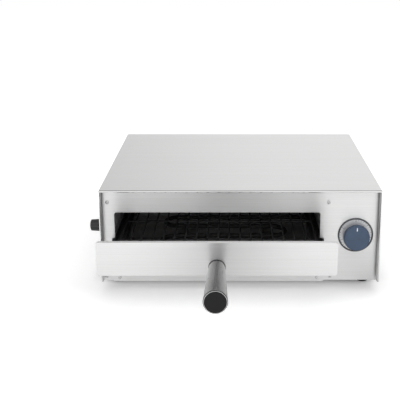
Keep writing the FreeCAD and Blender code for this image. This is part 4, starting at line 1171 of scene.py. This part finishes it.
# Printed scales: minutes round the timer, heat steps round the selector
timerScale = {"last": 30, "degrees": 300.0, "majorEvery": 5, "radius": 27.7, "tick": 1.5, "major": 1.9,
              "width": 0.6, "thickness": 0.06, "numberRadius": 24.5, "numberSize": 2.7}
heatScale = {"last": 3, "degrees": 270.0, "majorEvery": 1, "radius": 15.6, "tick": 2.2, "major": 2.2,
             "width": 0.7, "thickness": 0.06, "numberRadius": 19.0, "numberSize": 4.2}


def tickShape(tree, given):
    # ticks round an axis along Y, clockwise from the top, as seen from the front
    points = out(tree, "GeometryNodePoints", {"Count": plus(given["Last"], 1.0)})
    index = out(tree, "GeometryNodeInputIndex")
    angle = times(calc("DIVIDE", index, given["Last"]), given["Sweep"])
    isMajor = calc("LESS_THAN", calc("MODULO", index, given["Major Every"]), 0.5)
    length = mixed(isMajor, given["Length"], given["Major Length"])
    radius = calc("SUBTRACT", given["Radius"], times(length, 0.5))
    place = joined(
        X=times(calc("SINE", angle), radius),
        Z=times(calc("COSINE", angle), radius),
    )
    return out(tree, "GeometryNodeInstanceOnPoints", {
        "Points": out(tree, "GeometryNodeSetPosition", {"Geometry": points, "Position": place}),
        "Instance": out(tree, "GeometryNodeMeshCube", {"Size": (1, 1, 1)}),
        "Rotation": joined(Y=angle),
        "Scale": joined(X=given["Width"], Y=given["Thickness"], Z=length),
    })


def numberMesh(text, size, thickness):
    # upright figure that looks along -Y, with its middle at the origin
    curve = bpy.data.curves.new("figure", "FONT")
    curve.body = text
    curve.size = size * mm
    curve.extrude = thickness * mm / 2
    curve.align_x = "CENTER"
    curve.align_y = "CENTER"
    data = meshOf("figure", newObject("figure", curve))
    data.transform(Matrix.Rotation(math.pi / 2, 4, "X"))
    return data


def printScale(name, spec, placing):
    # ticks and figures in one mesh; placing takes it from the origin to its face
    sweep = math.radians(spec["degrees"])
    ticks = grow(name + "Ticks", tickShape, {
        "Last": spec["last"],
        "Sweep": sweep,
        "Major Every": spec["majorEvery"],
        "Radius": spec["radius"] * mm,
        "Length": spec["tick"] * mm,
        "Major Length": spec["major"] * mm,
        "Width": spec["width"] * mm,
        "Thickness": spec["thickness"] * mm,
    }, scaleInk)
    mesh = bmesh.new()
    mesh.from_mesh(ticks)
    reach = spec["numberRadius"] * mm
    for number in range(0, spec["last"] + 1, spec["majorEvery"]):
        angle = sweep * number / spec["last"]
        figure = numberMesh(str(number), spec["numberSize"], spec["thickness"])
        figure.transform(Matrix.Translation((math.sin(angle) * reach, 0, math.cos(angle) * reach)))
        mesh.from_mesh(figure)
    bmesh.ops.remove_doubles(mesh, verts=mesh.verts, dist=weldReach / 2)
    bmesh.ops.transform(mesh, matrix=placing, verts=mesh.verts)
    addTo(newPiece(name, mesh, scaleInk), "oven_body")


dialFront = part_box("timer_dial")[0].y - timerScale["thickness"] * mm / 2
printScale("timer_scale", timerScale, Matrix.Translation((dialMiddle.x, dialFront, dialMiddle.z)))
knobMiddle = boxMiddle("selector_knob")
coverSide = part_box("outer_cover")[0].x - heatScale["thickness"] * mm / 2
sidePlace = Matrix.Translation((coverSide, knobMiddle.y, knobMiddle.z))
printScale("heat_scale", heatScale, sidePlace @ Matrix.Rotation(-math.pi / 2, 4, "Z"))
print("scales printed")
